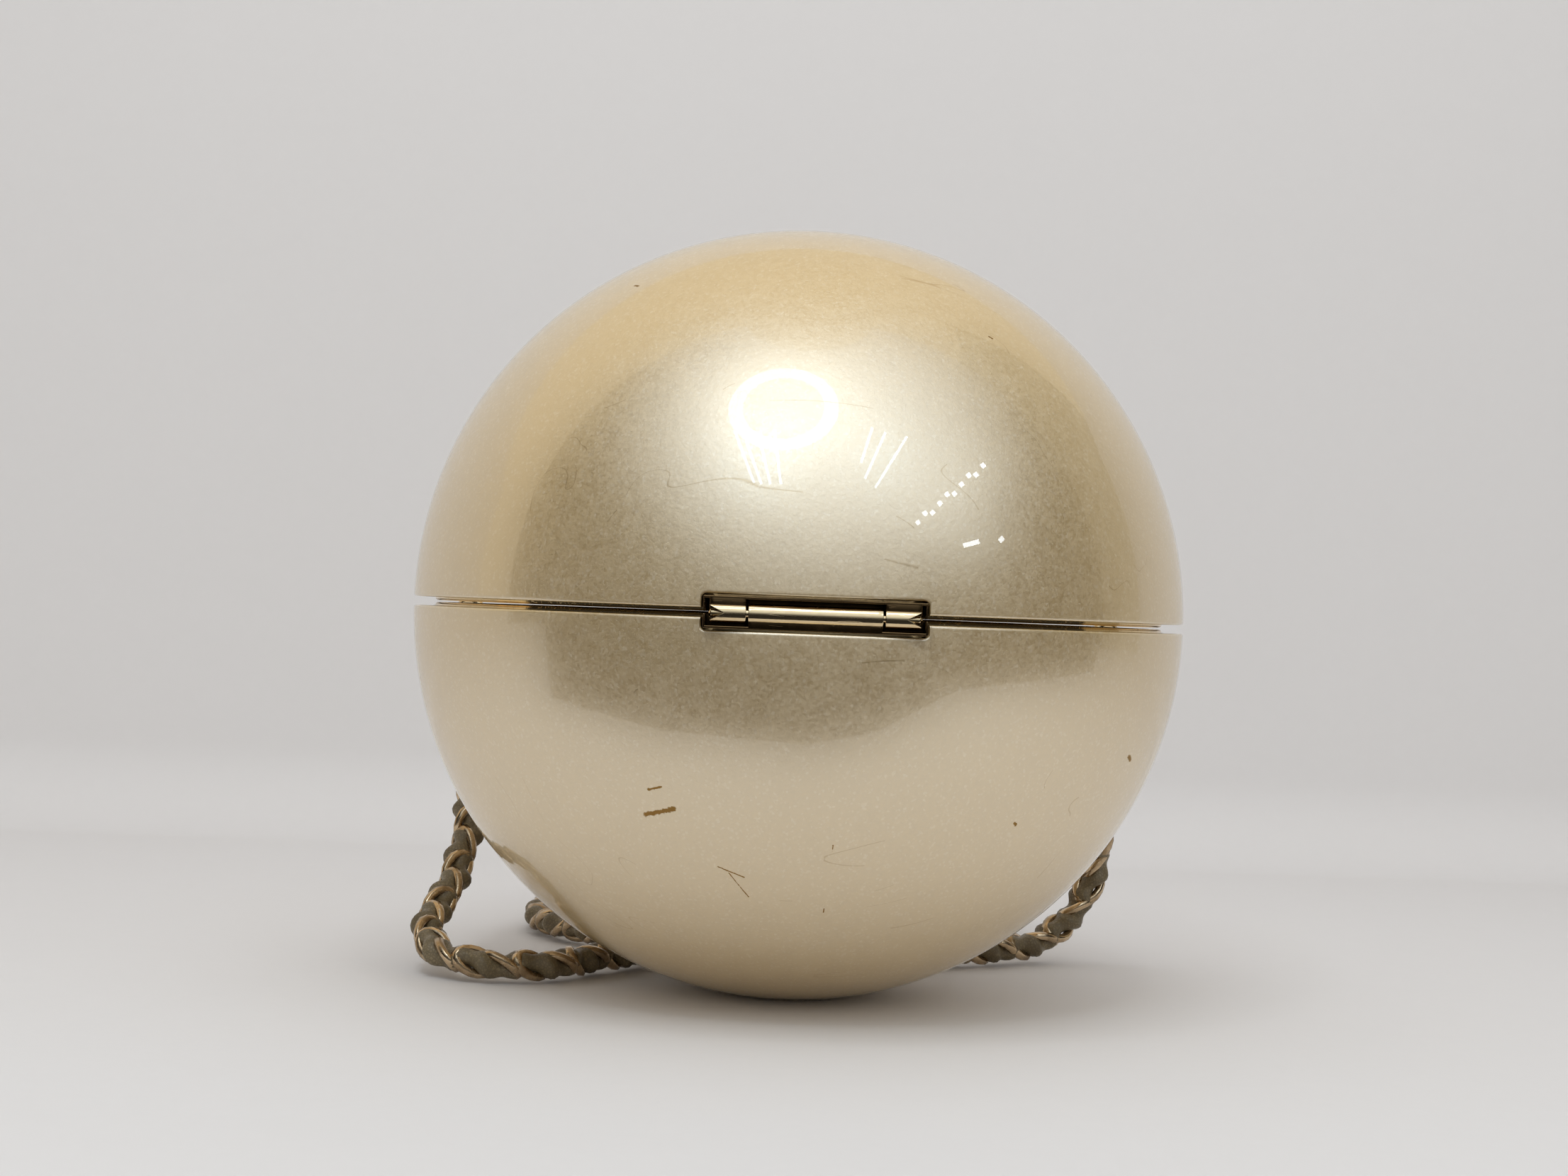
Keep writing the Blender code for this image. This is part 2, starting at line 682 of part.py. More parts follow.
def screw(name, x, z, seat_y, tip_y, parent=None):
    """A slotted round-head screw that goes in towards +Y."""
    profile = [
        (0.0, tip_y),
        (SCREW_R, tip_y - 0.3),
        (SCREW_R, seat_y),
        (SCREW_HEAD_R, seat_y),
        (SCREW_HEAD_R, seat_y - 0.4),
        (SCREW_HEAD_R * 0.7, seat_y - 0.7),
        (0.0, seat_y - 0.75),
    ]
    at = (x, 0, SEAM_Z + z)
    obj = turned_along_y(name, profile, at, GOLD, 12, parent)
    slot = block((-2.0, 2.0), (seat_y - 2.0, seat_y - 0.45), (-0.16, 0.16))
    combine(obj, cutter(f"{name}_slot_cut", slot, at, None, parent), "DIFFERENCE")


def clasp(lid, button):
    clasp_plate()
    clasp_housing()
    clasp_button(button)
    clasp_latch(button)
    clasp_spring()
    lid_catch(lid)
    flange_seat = HOUSING_Y[1] - HOUSING_WALL - GAP
    for name, side in (("left", -1), ("right", 1)):
        screw(f"housing_screw_{name}", side * SCREW_X, -CLASP_DROP, flange_seat, SCREW_TIP_Y)
        x, z = CATCH_SCREW
        screw(f"catch_screw_{name}", side * x, z, TONGUE_Y[0] - GAP, SCREW_TIP_Y, lid)


# ---------------------------------------------------------------- the strap


def lug_turn(side):
    """Turns +X, the way out of the ball, to a lug's place on the left or right."""
    return Matrix.Rotation(math.pi / 2 - side * LUG_ANGLE, 4, "Z")


def lug_notch(side):
    half = LUG_NECK / 2 + GAP
    low = LUG_Z - LUG_THICK / 2 - GAP
    notch = block((SHELL_IN_R - 4, BALL_R + 3), (-half, half), (low, 2.0))
    return cutter(f"lug_notch_cut_{side}", notch, turn=lug_turn(side))


def chain_lug(name, side):
    """A flat eye that stands out of the shell through a notch in its edge."""
    half = LUG_NECK / 2
    reach = math.asin(half / EYE_R)
    steps = 18
    turns = [reach - math.pi + (2 * math.pi - 2 * reach) * k / steps for k in range(steps + 1)]
    eye = [(EYE_AT_R + EYE_R * math.cos(a), EYE_R * math.sin(a)) for a in turns]
    outline = [(SHELL_IN_R, half), (SHELL_IN_R, -half), *eye]
    thick = (LUG_Z - LUG_THICK / 2, LUG_Z + LUG_THICK / 2)
    lug = place(name, prism(outline, *thick), GOLD, turn=lug_turn(side))
    bore = prism(circle(EYE_HOLE_R, 16, (EYE_AT_R, 0)), LUG_Z - 3, LUG_Z + 3)
    combine(lug, cutter(f"{name}_eye_cut", bore, turn=lug_turn(side)), "DIFFERENCE")


def chain_ring(name, side):
    """The round link that joins a lug to the strap. It lies in the upright plane through the lug."""
    count, sides = 24, 8
    rings = []
    for k in range(count):
        a = 2 * math.pi * k / count
        ring = []
        for n in range(sides):
            b = 2 * math.pi * n / sides
            r = RING_R + RING_WIRE_R * math.cos(b)
            ring.append((r * math.cos(a), RING_WIRE_R * math.sin(b), r * math.sin(a)))
        rings.append(ring)
    out = lug_turn(side) @ Vector((RING_AT_R, 0, 0))
    place(name, lofted(rings), GOLD, (out.x, out.y, SEAM_Z + RING_Z), lug_turn(side))


def strap():
    for name, side in (("left", -1), ("right", 1)):
        chain_lug(f"chain_lug_{name}", side)
        chain_ring(f"chain_ring_{name}", side)
    tube("chain_left_run", smooth_route(LEFT_ROUTE, STRAP_SPACING), STRAP_R, STRAP, 3)
    tube("chain_right_run", smooth_route(RIGHT_ROUTE, STRAP_SPACING), STRAP_R, STRAP, 3)
    inner, outer, corner = COIL_MEAN_R - STRAP_D, COIL_MEAN_R + STRAP_D, STRAP_R * 0.6
    top = 2 * STRAP_D
    profile = [
        (inner + corner, 0.0),
        (outer - corner, 0.0),
        (outer, corner),
        (outer, top - corner),
        (outer - corner, top),
        (inner + corner, top),
        (inner, top - corner),
        (inner, corner),
    ]
    place("chain_coil", turned(profile, 40), STRAP, (COIL_X, COIL_Y, 0))


def main():
    clear_scene()
    lid = empty("lid_hinge_axis", (0, HINGE_Y, SEAM_Z))
    button = empty("button_axis", (0, BUTTON_BACK_Y, SEAM_Z - CLASP_DROP))
    lower_half()
    upper_half(lid)
    hinge(lid)
    clasp(lid, button)
    strap()


main()
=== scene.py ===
"""Looks of a ball-shaped hard evening case with a pearl finish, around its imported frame.

Two glossy pearl half shells close on pale gold rims, over a three-knuckle hinge sunk in the back and a
push-button clasp at the front. A curb chain strap laced with leather lies round the foot of the ball.

Every piece is worked out as grids of points in metres, in the frame's own axes. A half of the ball is
built about the ball's centre with +1 for the lid and -1 for the base, so both halves share one formula.
"""

import logging
import math
from dataclasses import dataclass, field
from enum import Enum

import bpy
import numpy as np
from mathutils import Euler, Matrix, Vector


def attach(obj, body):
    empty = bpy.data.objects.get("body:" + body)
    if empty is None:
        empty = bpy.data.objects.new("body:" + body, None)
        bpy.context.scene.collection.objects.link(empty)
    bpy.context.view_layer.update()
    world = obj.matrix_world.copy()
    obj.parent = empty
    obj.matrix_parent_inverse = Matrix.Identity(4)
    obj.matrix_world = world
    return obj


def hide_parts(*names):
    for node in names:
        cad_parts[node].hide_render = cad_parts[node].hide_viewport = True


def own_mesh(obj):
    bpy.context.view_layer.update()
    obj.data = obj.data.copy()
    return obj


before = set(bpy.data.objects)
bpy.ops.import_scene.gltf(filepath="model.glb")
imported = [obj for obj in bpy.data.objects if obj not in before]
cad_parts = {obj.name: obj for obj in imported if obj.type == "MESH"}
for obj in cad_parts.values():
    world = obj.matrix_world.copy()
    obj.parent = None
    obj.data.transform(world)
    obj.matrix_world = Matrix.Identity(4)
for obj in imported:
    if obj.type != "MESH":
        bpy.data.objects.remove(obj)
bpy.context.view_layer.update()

MM = 0.001
LOG = logging.getLogger("evening_case")
Colour = tuple[float, float, float]


class Side(Enum):
    """Which half of the ball a piece belongs to, as the sign of its heights over the seam."""

    LID = 1
    BASE = -1


class Finish(Enum):
    """The material slots of the record."""

    PEARL = "pearl_resin"
    GOLD = "pale_gold"
    STEEL = "spring_steel"
    LINING = "lining_leather"
    STRAP = "strap_leather"


# ---------------------------------------------------------------- grids of points to meshes


@dataclass
class Grid:
    """Points in rows and columns that become one skin of four-sided faces.

    Faces look along the cross product of the column and the row direction, unless flipped. A pole
    is a first or last row whose points all coincide, which closes that end with triangles.
    """

    points: np.ndarray
    wrap_rows: bool = False
    wrap_columns: bool = True
    first_pole: bool = False
    last_pole: bool = False
    flipped: bool = False
    finish_index: int = 0

    def corners(self) -> np.ndarray:
        """The four point numbers of each face, with wraps and poles already shared."""
        rows, columns = self.points.shape[:2]
        index = np.arange(rows * columns).reshape(rows, columns)
        if self.first_pole:
            index[0] = index[0, 0]
        if self.last_pole:
            index[-1] = index[-1, 0]
        if self.wrap_columns:
            index = np.hstack([index, index[:, :1]])
        if self.wrap_rows:
            index = np.vstack([index, index[:1]])
        quads = np.stack([index[:-1, :-1], index[:-1, 1:], index[1:, 1:], index[1:, :-1]], axis=-1)
        quads = quads.reshape(-1, 4)
        return quads[:, ::-1] if self.flipped else quads


def mesh_from_grids(name: str, grids: list[Grid]) -> bpy.types.Mesh:
    """Joins grids into one mesh, smooth shaded.

    Args:
        name: The mesh's name.
        grids: The skins, in metres.

    Returns:
        The mesh, with no loose points and with triangles where a face touches a pole.
    """
    points = np.concatenate([g.points.reshape(-1, 3) for g in grids])
    starts = np.cumsum([0] + [g.points.shape[0] * g.points.shape[1] for g in grids])
    quads = np.concatenate([g.corners() + start for g, start in zip(grids, starts)])
    finish = np.concatenate([np.full(len(g.corners()), g.finish_index) for g in grids])
    used, numbers = np.unique(quads, return_inverse=True)
    quads = numbers.reshape(-1, 4)
    repeats = quads == np.roll(quads, -1, axis=1)
    keep = ~repeats
    sizes = keep.sum(axis=1)
    whole = sizes > 2
    loops = quads[whole][keep[whole]]
    sizes, finish = sizes[whole], finish[whole]
    mesh = bpy.data.meshes.new(name)
    mesh.vertices.add(len(used))
    mesh.vertices.foreach_set("co", points[used].astype(np.float32).ravel())
    mesh.loops.add(len(loops))
    mesh.loops.foreach_set("vertex_index", loops.astype(np.int32))
    mesh.polygons.add(len(sizes))
    mesh.polygons.foreach_set("loop_start", (np.cumsum(sizes) - sizes).astype(np.int32))
    mesh.polygons.foreach_set("material_index", finish.astype(np.int32))
    mesh.update(calc_edges=True)
    mesh.validate()
    mesh.shade_smooth()
    return mesh


def piece(
    name: str, body: str, slot: Finish, grids: list[Grid], *materials: bpy.types.Material
) -> bpy.types.Object:
    """Makes an object of some grids, dresses it and lets it ride on a body.

    Args:
        name: The piece's name.
        body: The frame's body that it moves with.
        slot: The record's material slot; not used.
        grids: Its skins, in metres.
        materials: Its materials, in the order of the grids' finish numbers.

    Returns:
        The new object, which sits at the origin.
    """
    mesh = mesh_from_grids(name, grids)
    return mount(name, body, slot, mesh, *materials)


def mount(
    name: str, body: str, slot: Finish, mesh: bpy.types.Mesh, *materials: bpy.types.Material
) -> bpy.types.Object:
    """Puts a finished mesh into the scene on a body, with its materials."""
    obj = bpy.data.objects.new(name, mesh)
    for material in materials:
        mesh.materials.append(material)
    bpy.context.scene.collection.objects.link(obj)
    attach(obj, body)
    LOG.info("%s: %d faces on %s", name, len(mesh.polygons), body)
    return obj


def sharpen(obj: bpy.types.Object, degrees: float) -> None:
    """Marks edges sharper than an angle, so that flat faces stay flat under smooth shading."""
    obj.data.set_sharp_from_angle(angle=math.radians(degrees))


def turned(profile: np.ndarray, steps: int, middle: tuple[float, float, float]) -> np.ndarray:
    """Turns (radius, height) pairs about the upright line through a point, in steps.

    Row k, column j is (r_k cos a_j, r_k sin a_j, z_k) with a_j evenly round the circle.
    """
    angle = np.linspace(0, 2 * np.pi, steps, endpoint=False)
    radius, height = profile[:, 0, None], profile[:, 1, None]
    x, y = radius * np.cos(angle), radius * np.sin(angle)
    z = np.broadcast_to(height, x.shape)
    return np.stack([x, y, z], axis=-1) + np.array(middle)


def about_y(points: np.ndarray, middle: tuple[float, float, float]) -> np.ndarray:
    """Turns shapes made about the upright line onto a line along +Y through a point."""
    x, y, z = np.moveaxis(points, -1, 0)
    return np.stack([x, z, -y], axis=-1) + np.array(middle)


def rounded(profile: list[tuple[float, float]], radius: float, steps: int = 4) -> np.ndarray:
    """Rounds the corners of an open profile, leaving its two ends.

    Each inner corner is replaced by a quadratic arc that starts and ends `radius` before and after
    the corner, or at most 0.45 of the way along the shorter side.
    """
    points = np.array(profile, float)
    made = [points[:1]]
    share = np.linspace(0, 1, steps + 1)[:, None]
    for before, corner, after in zip(points, points[1:], points[2:]):
        back, ahead = before - corner, after - corner
        reach = min(radius, 0.45 * np.linalg.norm(back), 0.45 * np.linalg.norm(ahead))
        start = corner + back / np.linalg.norm(back) * reach
        end = corner + ahead / np.linalg.norm(ahead) * reach
        made.append((1 - share) ** 2 * start + 2 * share * (1 - share) * corner + share**2 * end)
    made.append(points[-1:])
    return np.concatenate(made)


def smoothstep(value: np.ndarray, low: float, high: float) -> np.ndarray:
    """0 below low, 1 above high and a cubic ease between."""
    t = np.clip((value - low) / (high - low), 0, 1)
    return t * t * (3 - 2 * t)


def swept(path: np.ndarray, side: np.ndarray, over: np.ndarray, section: np.ndarray) -> np.ndarray:
    """Carries a section along a path: point (k, j) is path_k + section_j.x side_k + section_j.y over_k."""
    section = np.broadcast_to(section, (len(path), *section.shape[-2:]))
    return path[:, None] + section[..., :1] * side[:, None] + section[..., 1:] * over[:, None]


def capped(rings: np.ndarray) -> Grid:
    """A tube of rings closed at both ends by poles in the middle of its end rings."""
    first = np.repeat(rings[:1].mean(axis=1, keepdims=True), rings.shape[1], axis=1)
    last = np.repeat(rings[-1:].mean(axis=1, keepdims=True), rings.shape[1], axis=1)
    return Grid(np.concatenate([first, rings, last]), first_pole=True, last_pole=True)


# ---------------------------------------------------------------- shader node groups and materials


class Nodes:
    """Short hand for adding and joining the nodes of a material or a node group."""

    def __init__(self, tree: bpy.types.NodeTree) -> None:
        """Starts on a node tree."""
        self.tree = tree

    def add(self, kind: str, **settings: object) -> bpy.types.Node:
        """Adds a node. Settings are attributes, or inputs where the name starts with in_."""
        node = self.tree.nodes.new(kind)
        for name, value in settings.items():
            if name.startswith("in_"):
                key = name[3:]
                socket = node.inputs[int(key) if key.isdigit() else key.replace("_", " ")]
                socket.default_value = value
            else:
                setattr(node, name, value)
        return node

    def link(self, source: bpy.types.NodeSocket, target: bpy.types.NodeSocket) -> None:
        """Joins two sockets."""
        self.tree.links.new(source, target)

    def math(self, operation: str, first: object, second: object = 0.0) -> bpy.types.NodeSocket:
        """A Math node of two values or sockets; gives its output."""
        node = self.add("ShaderNodeMath", operation=operation)
        for socket, value in zip(node.inputs, (first, second)):
            if isinstance(value, bpy.types.NodeSocket):
                self.link(value, socket)
            else:
                socket.default_value = value
        return node.outputs[0]

    def mix(self, share: object, first: object, second: object, blend: str = "MIX") -> bpy.types.NodeSocket:
        """A colour Mix node; gives its output."""
        node = self.add("ShaderNodeMix", data_type="RGBA", blend_type=blend)
        for socket, value in zip((node.inputs[0], node.inputs[6], node.inputs[7]), (share, first, second)):
            if isinstance(value, bpy.types.NodeSocket):
                self.link(value, socket)
            else:
                socket.default_value = value
        return node.outputs[2]

    def ramp(self, source: bpy.types.NodeSocket, low: float, high: float) -> bpy.types.NodeSocket:
        """Maps low..high of a socket onto 0..1, held at the ends."""
        node = self.add("ShaderNodeMapRange", clamp=True)
        node.inputs["From Min"].default_value = low
        node.inputs["From Max"].default_value = high
        self.link(source, node.inputs["Value"])
        return node.outputs["Result"]


def group(
    name: str, inputs: dict[str, float], outputs: list[str]
) -> tuple[bpy.types.NodeTree, Nodes, object, object]:
    """Starts a shader node group.

    Args:
        name: The group's name.
        inputs: Its number inputs and their defaults, after a Position input.
        outputs: Its number outputs.

    Returns:
        The tree, its Nodes, its input node and its output node.
    """
    tree = bpy.data.node_groups.new(name, "ShaderNodeTree")
    tree.interface.new_socket("Position", in_out="INPUT", socket_type="NodeSocketVector")
    for label, value in inputs.items():
        socket = tree.interface.new_socket(label, in_out="INPUT", socket_type="NodeSocketFloat")
        socket.default_value = value
    for label in outputs:
        tree.interface.new_socket(label, in_out="OUTPUT", socket_type="NodeSocketFloat")
    made = Nodes(tree)
    return tree, made, made.add("NodeGroupInput"), made.add("NodeGroupOutput")


def scaled_position(made: Nodes, entry: object, label: str) -> bpy.types.NodeSocket:
    """The group's Position times one of its number inputs."""
    node = made.add("ShaderNodeVectorMath", operation="SCALE")
    made.link(entry.outputs["Position"], node.inputs[0])
    made.link(entry.outputs[label], node.inputs["Scale"])
    return node.outputs[0]


def grain_group() -> bpy.types.NodeTree:
    """Fine grain: a coarse and a fine noise added together, about 0.5."""
    tree, made, entry, out = group("fine_grain", {"Scale": 1500.0, "Coarse share": 0.4}, ["Grain"])
    position = scaled_position(made, entry, "Scale")
    fine = made.add("ShaderNodeTexNoise", in_Scale=1.0, in_Detail=2.0)
    coarse = made.add("ShaderNodeTexNoise", in_Scale=0.23, in_Detail=2.0)
    made.link(position, fine.inputs["Vector"])
    made.link(position, coarse.inputs["Vector"])
    share = made.math("MULTIPLY", coarse.outputs["Fac"], entry.outputs["Coarse share"])
    rest = made.math("SUBTRACT", 1.0, entry.outputs["Coarse share"])
    made.link(made.math("ADD", made.math("MULTIPLY", fine.outputs["Fac"], rest), share), out.inputs["Grain"])
    return tree


def flake_group() -> bpy.types.NodeTree:
    """Pearl flakes: cells with a brightness each; the brightest give a sparkle share, which the pearl mixes
    into its colour as painted glints.
    """
    tree, made, entry, out = group("pearl_flakes", {"Scale": 3600.0, "Rarity": 0.82}, ["Tone", "Sparkle"])
    position = scaled_position(made, entry, "Scale")
    cells = made.add("ShaderNodeTexVoronoi", in_Scale=1.0)
    made.link(position, cells.inputs["Vector"])
    tone = made.add("ShaderNodeSeparateColor")
    made.link(cells.outputs["Color"], tone.inputs[0])
    made.link(tone.outputs[0], out.inputs["Tone"])
    over = made.math("SUBTRACT", tone.outputs[1], entry.outputs["Rarity"])
    made.link(made.math("MAXIMUM", made.math("MULTIPLY", over, 6.0), 0.0), out.inputs["Sparkle"])
    return tree


def scratch_group() -> bpy.types.NodeTree:
    """Hair-fine scratches: thin level lines of a stretched noise, kept only in a few patches."""
    inputs = {"Scale": 60.0, "Width": 0.004, "Patches": 0.6}
    tree, made, entry, out = group("hair_scratches", inputs, ["Scratch"])
    position = scaled_position(made, entry, "Scale")
    turn = made.add("ShaderNodeMapping", in_Rotation=(0.5, 0.35, 0.9), in_Scale=(0.22, 3.4, 1.6))
    made.link(position, turn.inputs["Vector"])
    lines = made.add("ShaderNodeTexNoise", in_Scale=1.0, in_Detail=1.0)
    made.link(turn.outputs[0], lines.inputs["Vector"])
    away = made.math("ABSOLUTE", made.math("SUBTRACT", lines.outputs["Fac"], 0.5))
    thin = made.math("SUBTRACT", 1.0, made.math("DIVIDE", away, entry.outputs["Width"]))
    patch = made.add("ShaderNodeTexNoise", in_Scale=0.9, in_Detail=2.0)
    made.link(position, patch.inputs["Vector"])
    chosen = made.math("GREATER_THAN", patch.outputs["Fac"], entry.outputs["Patches"])
    made.link(made.math("MULTIPLY", made.math("MAXIMUM", thin, 0.0), chosen), out.inputs["Scratch"])
    return tree


def smudge_group() -> bpy.types.NodeTree:
    """Soft handling marks: a broad cloudy mask."""
    tree, made, entry, out = group("handling_marks", {"Scale": 45.0, "Low": 0.45, "High": 0.75}, ["Mark"])
    cloud = made.add("ShaderNodeTexNoise", in_Scale=1.0, in_Detail=5.0, in_Roughness=0.6)
    made.link(scaled_position(made, entry, "Scale"), cloud.inputs["Vector"])
    over = made.math("SUBTRACT", cloud.outputs["Fac"], entry.outputs["Low"])
    width = made.math("SUBTRACT", entry.outputs["High"], entry.outputs["Low"])
    share = made.math("MINIMUM", made.math("MAXIMUM", made.math("DIVIDE", over, width), 0.0), 1.0)
    made.link(share, out.inputs["Mark"])
    return tree


def gouge_group() -> bpy.types.NodeTree:
    """A worn scratch: 1 near the line between two points, with a ragged edge.

    The mask comes from d = |p - a - t (b - a)| with t = clamp((p - a).(b - a) / |b - a|^2).
    """
    tree, made, entry, out = group("gouge", {"Width": 0.0003}, ["Mask"])
    for label in ("From", "To"):
        tree.interface.new_socket(label, in_out="INPUT", socket_type="NodeSocketVector")

    def vector(operation: str, first: object, second: object) -> bpy.types.Node:
        node = made.add("ShaderNodeVectorMath", operation=operation)
        made.link(first, node.inputs[0])
        made.link(second, node.inputs["Scale"] if operation == "SCALE" else node.inputs[1])
        return node

    away = vector("SUBTRACT", entry.outputs["Position"], entry.outputs["From"]).outputs[0]
    line = vector("SUBTRACT", entry.outputs["To"], entry.outputs["From"]).outputs[0]
    dot = vector("DOT_PRODUCT", away, line).outputs["Value"]
    square = vector("DOT_PRODUCT", line, line).outputs["Value"]
    share = made.math("MINIMUM", made.math("MAXIMUM", made.math("DIVIDE", dot, square), 0.0), 1.0)
    nearest = vector("SCALE", line, share).outputs[0]
    gap = vector("SUBTRACT", away, nearest).outputs[0]
    length = made.add("ShaderNodeVectorMath", operation="LENGTH")
    made.link(gap, length.inputs[0])
    ragged = made.add("ShaderNodeTexNoise", in_Scale=2600.0, in_Detail=2.0)
    made.link(entry.outputs["Position"], ragged.inputs["Vector"])
    reach = made.math("MULTIPLY", entry.outputs["Width"], made.math("MULTIPLY", ragged.outputs["Fac"], 2.0))
    over = made.math("SUBTRACT", 1.0, made.math("DIVIDE", length.outputs["Value"], reach))
    steep = made.math("MAXIMUM", made.math("MULTIPLY", over, 3.0), 0.0)
    made.link(made.math("MINIMUM", steep, 1.0), out.inputs["Mask"])
    return tree


@dataclass
class Effects:
    """The node groups that the finishes share."""

    grain: bpy.types.NodeTree = field(default_factory=grain_group)
    flakes: bpy.types.NodeTree = field(default_factory=flake_group)
    scratches: bpy.types.NodeTree = field(default_factory=scratch_group)
    smudges: bpy.types.NodeTree = field(default_factory=smudge_group)
    gouge: bpy.types.NodeTree = field(default_factory=gouge_group)


class Paint:
    """A material in the making: its Principled shader, its nodes and its position source."""

    def __init__(self, name: str) -> None:
        """Starts a material whose patterns lie in Object coordinates."""
        self.material = bpy.data.materials.new(name)
        self.material.use_nodes = True
        self.nodes = Nodes(self.material.node_tree)
        self.shader = self.material.node_tree.nodes["Principled BSDF"]
        self.position = self.nodes.add("ShaderNodeTexCoord").outputs["Object"]

    def set(self, **values: object) -> None:
        """Sets constants on the shader's own sockets; an underscore stands for a space."""
        for name, value in values.items():
            self.shader.inputs[name.replace("_", " ")].default_value = value

    def use(self, tree: bpy.types.NodeTree, **inputs: float) -> bpy.types.Node:
        """Places an effect group and gives it the position."""
        node = self.nodes.add("ShaderNodeGroup", node_tree=tree)
        self.nodes.link(self.position, node.inputs["Position"])
        for name, value in inputs.items():
            node.inputs[name.replace("_", " ")].default_value = value
        return node

    def feed(self, source: bpy.types.NodeSocket, name: str) -> None:
        """Joins a socket to one of the shader's inputs."""
        self.nodes.link(source, self.shader.inputs[name])

    def bump(self, height: bpy.types.NodeSocket, depth: float, strength: float = 1.0) -> None:
        """Feeds the shader's Normal from a height, where 1 stands for a depth in metres."""
        node = self.nodes.add("ShaderNodeBump", in_Strength=strength, in_Distance=depth)
        self.nodes.link(height, node.inputs["Height"])
        self.feed(node.outputs[0], "Normal")


@dataclass(frozen=True)
class PearlResin:
    """Champagne pearl paint under a thick clear gloss: flaked below, mirror smooth on top.

    Marks are (from, to, width) in metres round the ball's middle, cut down to the brown resin.
    """

    body: Colour = (0.49, 0.31, 0.088)
    pale: Colour = (0.57, 0.375, 0.125)
    bare: Colour = (0.30, 0.17, 0.05)
    sheen: Colour = (1.0, 0.94, 0.80)
    roughness: float = 0.37
    index: float = 6.0
    flakes_per_metre: float = 3000.0

    def material(self, effects: Effects, marks: list[tuple[Vector, Vector, float]]) -> bpy.types.Material:
        """Builds the material."""
        paint = Paint("pearl_resin_gloss")
        flakes = paint.use(effects.flakes, Scale=self.flakes_per_metre)
        grain = paint.use(effects.grain, Scale=1300.0)
        scratch = paint.use(effects.scratches, Scale=55.0)
        smudge = paint.use(effects.smudges, Scale=30.0)
        nodes = paint.nodes
        cloud = nodes.ramp(grain.outputs["Grain"], 0.35, 0.65)
        flecked = nodes.math("MULTIPLY", flakes.outputs["Tone"], 0.5)
        tone = nodes.math("ADD", flecked, nodes.math("MULTIPLY", cloud, 0.5))
        colour = nodes.mix(tone, (*self.body, 1.0), (*self.pale, 1.0))
        # Painted glints: the brightest flakes are mixed towards a pale colour in the base colour.
        painted_glint = nodes.math("MULTIPLY", flakes.outputs["Sparkle"], 0.18)
        colour = nodes.mix(painted_glint, colour, (0.95, 0.90, 0.80, 1.0))
        wear_and_painted_shade = nodes.math("MULTIPLY", scratch.outputs["Scratch"], 0.4)
        for start, end, width in marks:
            gouge = paint.use(effects.gouge, Width=width)
            gouge.inputs["From"].default_value = start
            gouge.inputs["To"].default_value = end
            wear_and_painted_shade = nodes.math("MAXIMUM", wear_and_painted_shade, gouge.outputs["Mask"])
        paint.feed(nodes.mix(wear_and_painted_shade, colour, (*self.bare, 1.0)), "Base Color")
        uneven = nodes.math("MULTIPLY", nodes.math("SUBTRACT", tone, 0.5), 0.16)
        rough = nodes.math("ADD", self.roughness, uneven)
        touched = nodes.math("MULTIPLY", smudge.outputs["Mark"], 0.03)
        paint.feed(nodes.math("ADD", rough, touched), "Roughness")
        paint.feed(nodes.math("SUBTRACT", 1.0, wear_and_painted_shade), "Coat Weight")
        paint.feed(wear_and_painted_shade, "Metallic")
        paint.bump(tone, 0.00003, 0.8)
        paint.set(IOR=self.index, Specular_Tint=(*self.sheen, 1.0), Coat_Roughness=0.012, Coat_IOR=1.52)
        return paint.material


@dataclass(frozen=True)
class PolishedMetal:
    """Plated or plain metal, polished and then worn: brushed lines, smudges and fine scratches."""

    name: str = "pale_gold_plate"
    colour: Colour = (0.78, 0.61, 0.37)
    worn: Colour = (0.50, 0.38, 0.23)
    roughness: float = 0.07
    wear: float = 0.35
    grain_depth: float = 0.000006

    def material(self, effects: Effects) -> bpy.types.Material:
        """Builds the material."""
        paint = Paint(self.name)
        grain = paint.use(effects.grain, Scale=2200.0, Coarse_share=0.5)
        scratch = paint.use(effects.scratches, Scale=320.0, Width=0.012, Patches=0.5)
        marks = paint.use(effects.smudges, Scale=260.0, Low=0.40, High=0.68)
        nodes = paint.nodes
        tired = nodes.math("MULTIPLY", marks.outputs["Mark"], self.wear)
        paint.feed(nodes.mix(tired, (*self.colour, 1.0), (*self.worn, 1.0)), "Base Color")
        dulled = nodes.math("MULTIPLY", marks.outputs["Mark"], 0.12 * self.wear / 0.35)
        scratched = nodes.math("MULTIPLY", scratch.outputs["Scratch"], 0.2)
        rough = nodes.math("ADD", self.roughness, dulled)
        paint.feed(nodes.math("ADD", rough, scratched), "Roughness")
        height = nodes.math("SUBTRACT", grain.outputs["Grain"], scratch.outputs["Scratch"])
        paint.bump(height, self.grain_depth)
        paint.set(Metallic=1.0)
        return paint.material


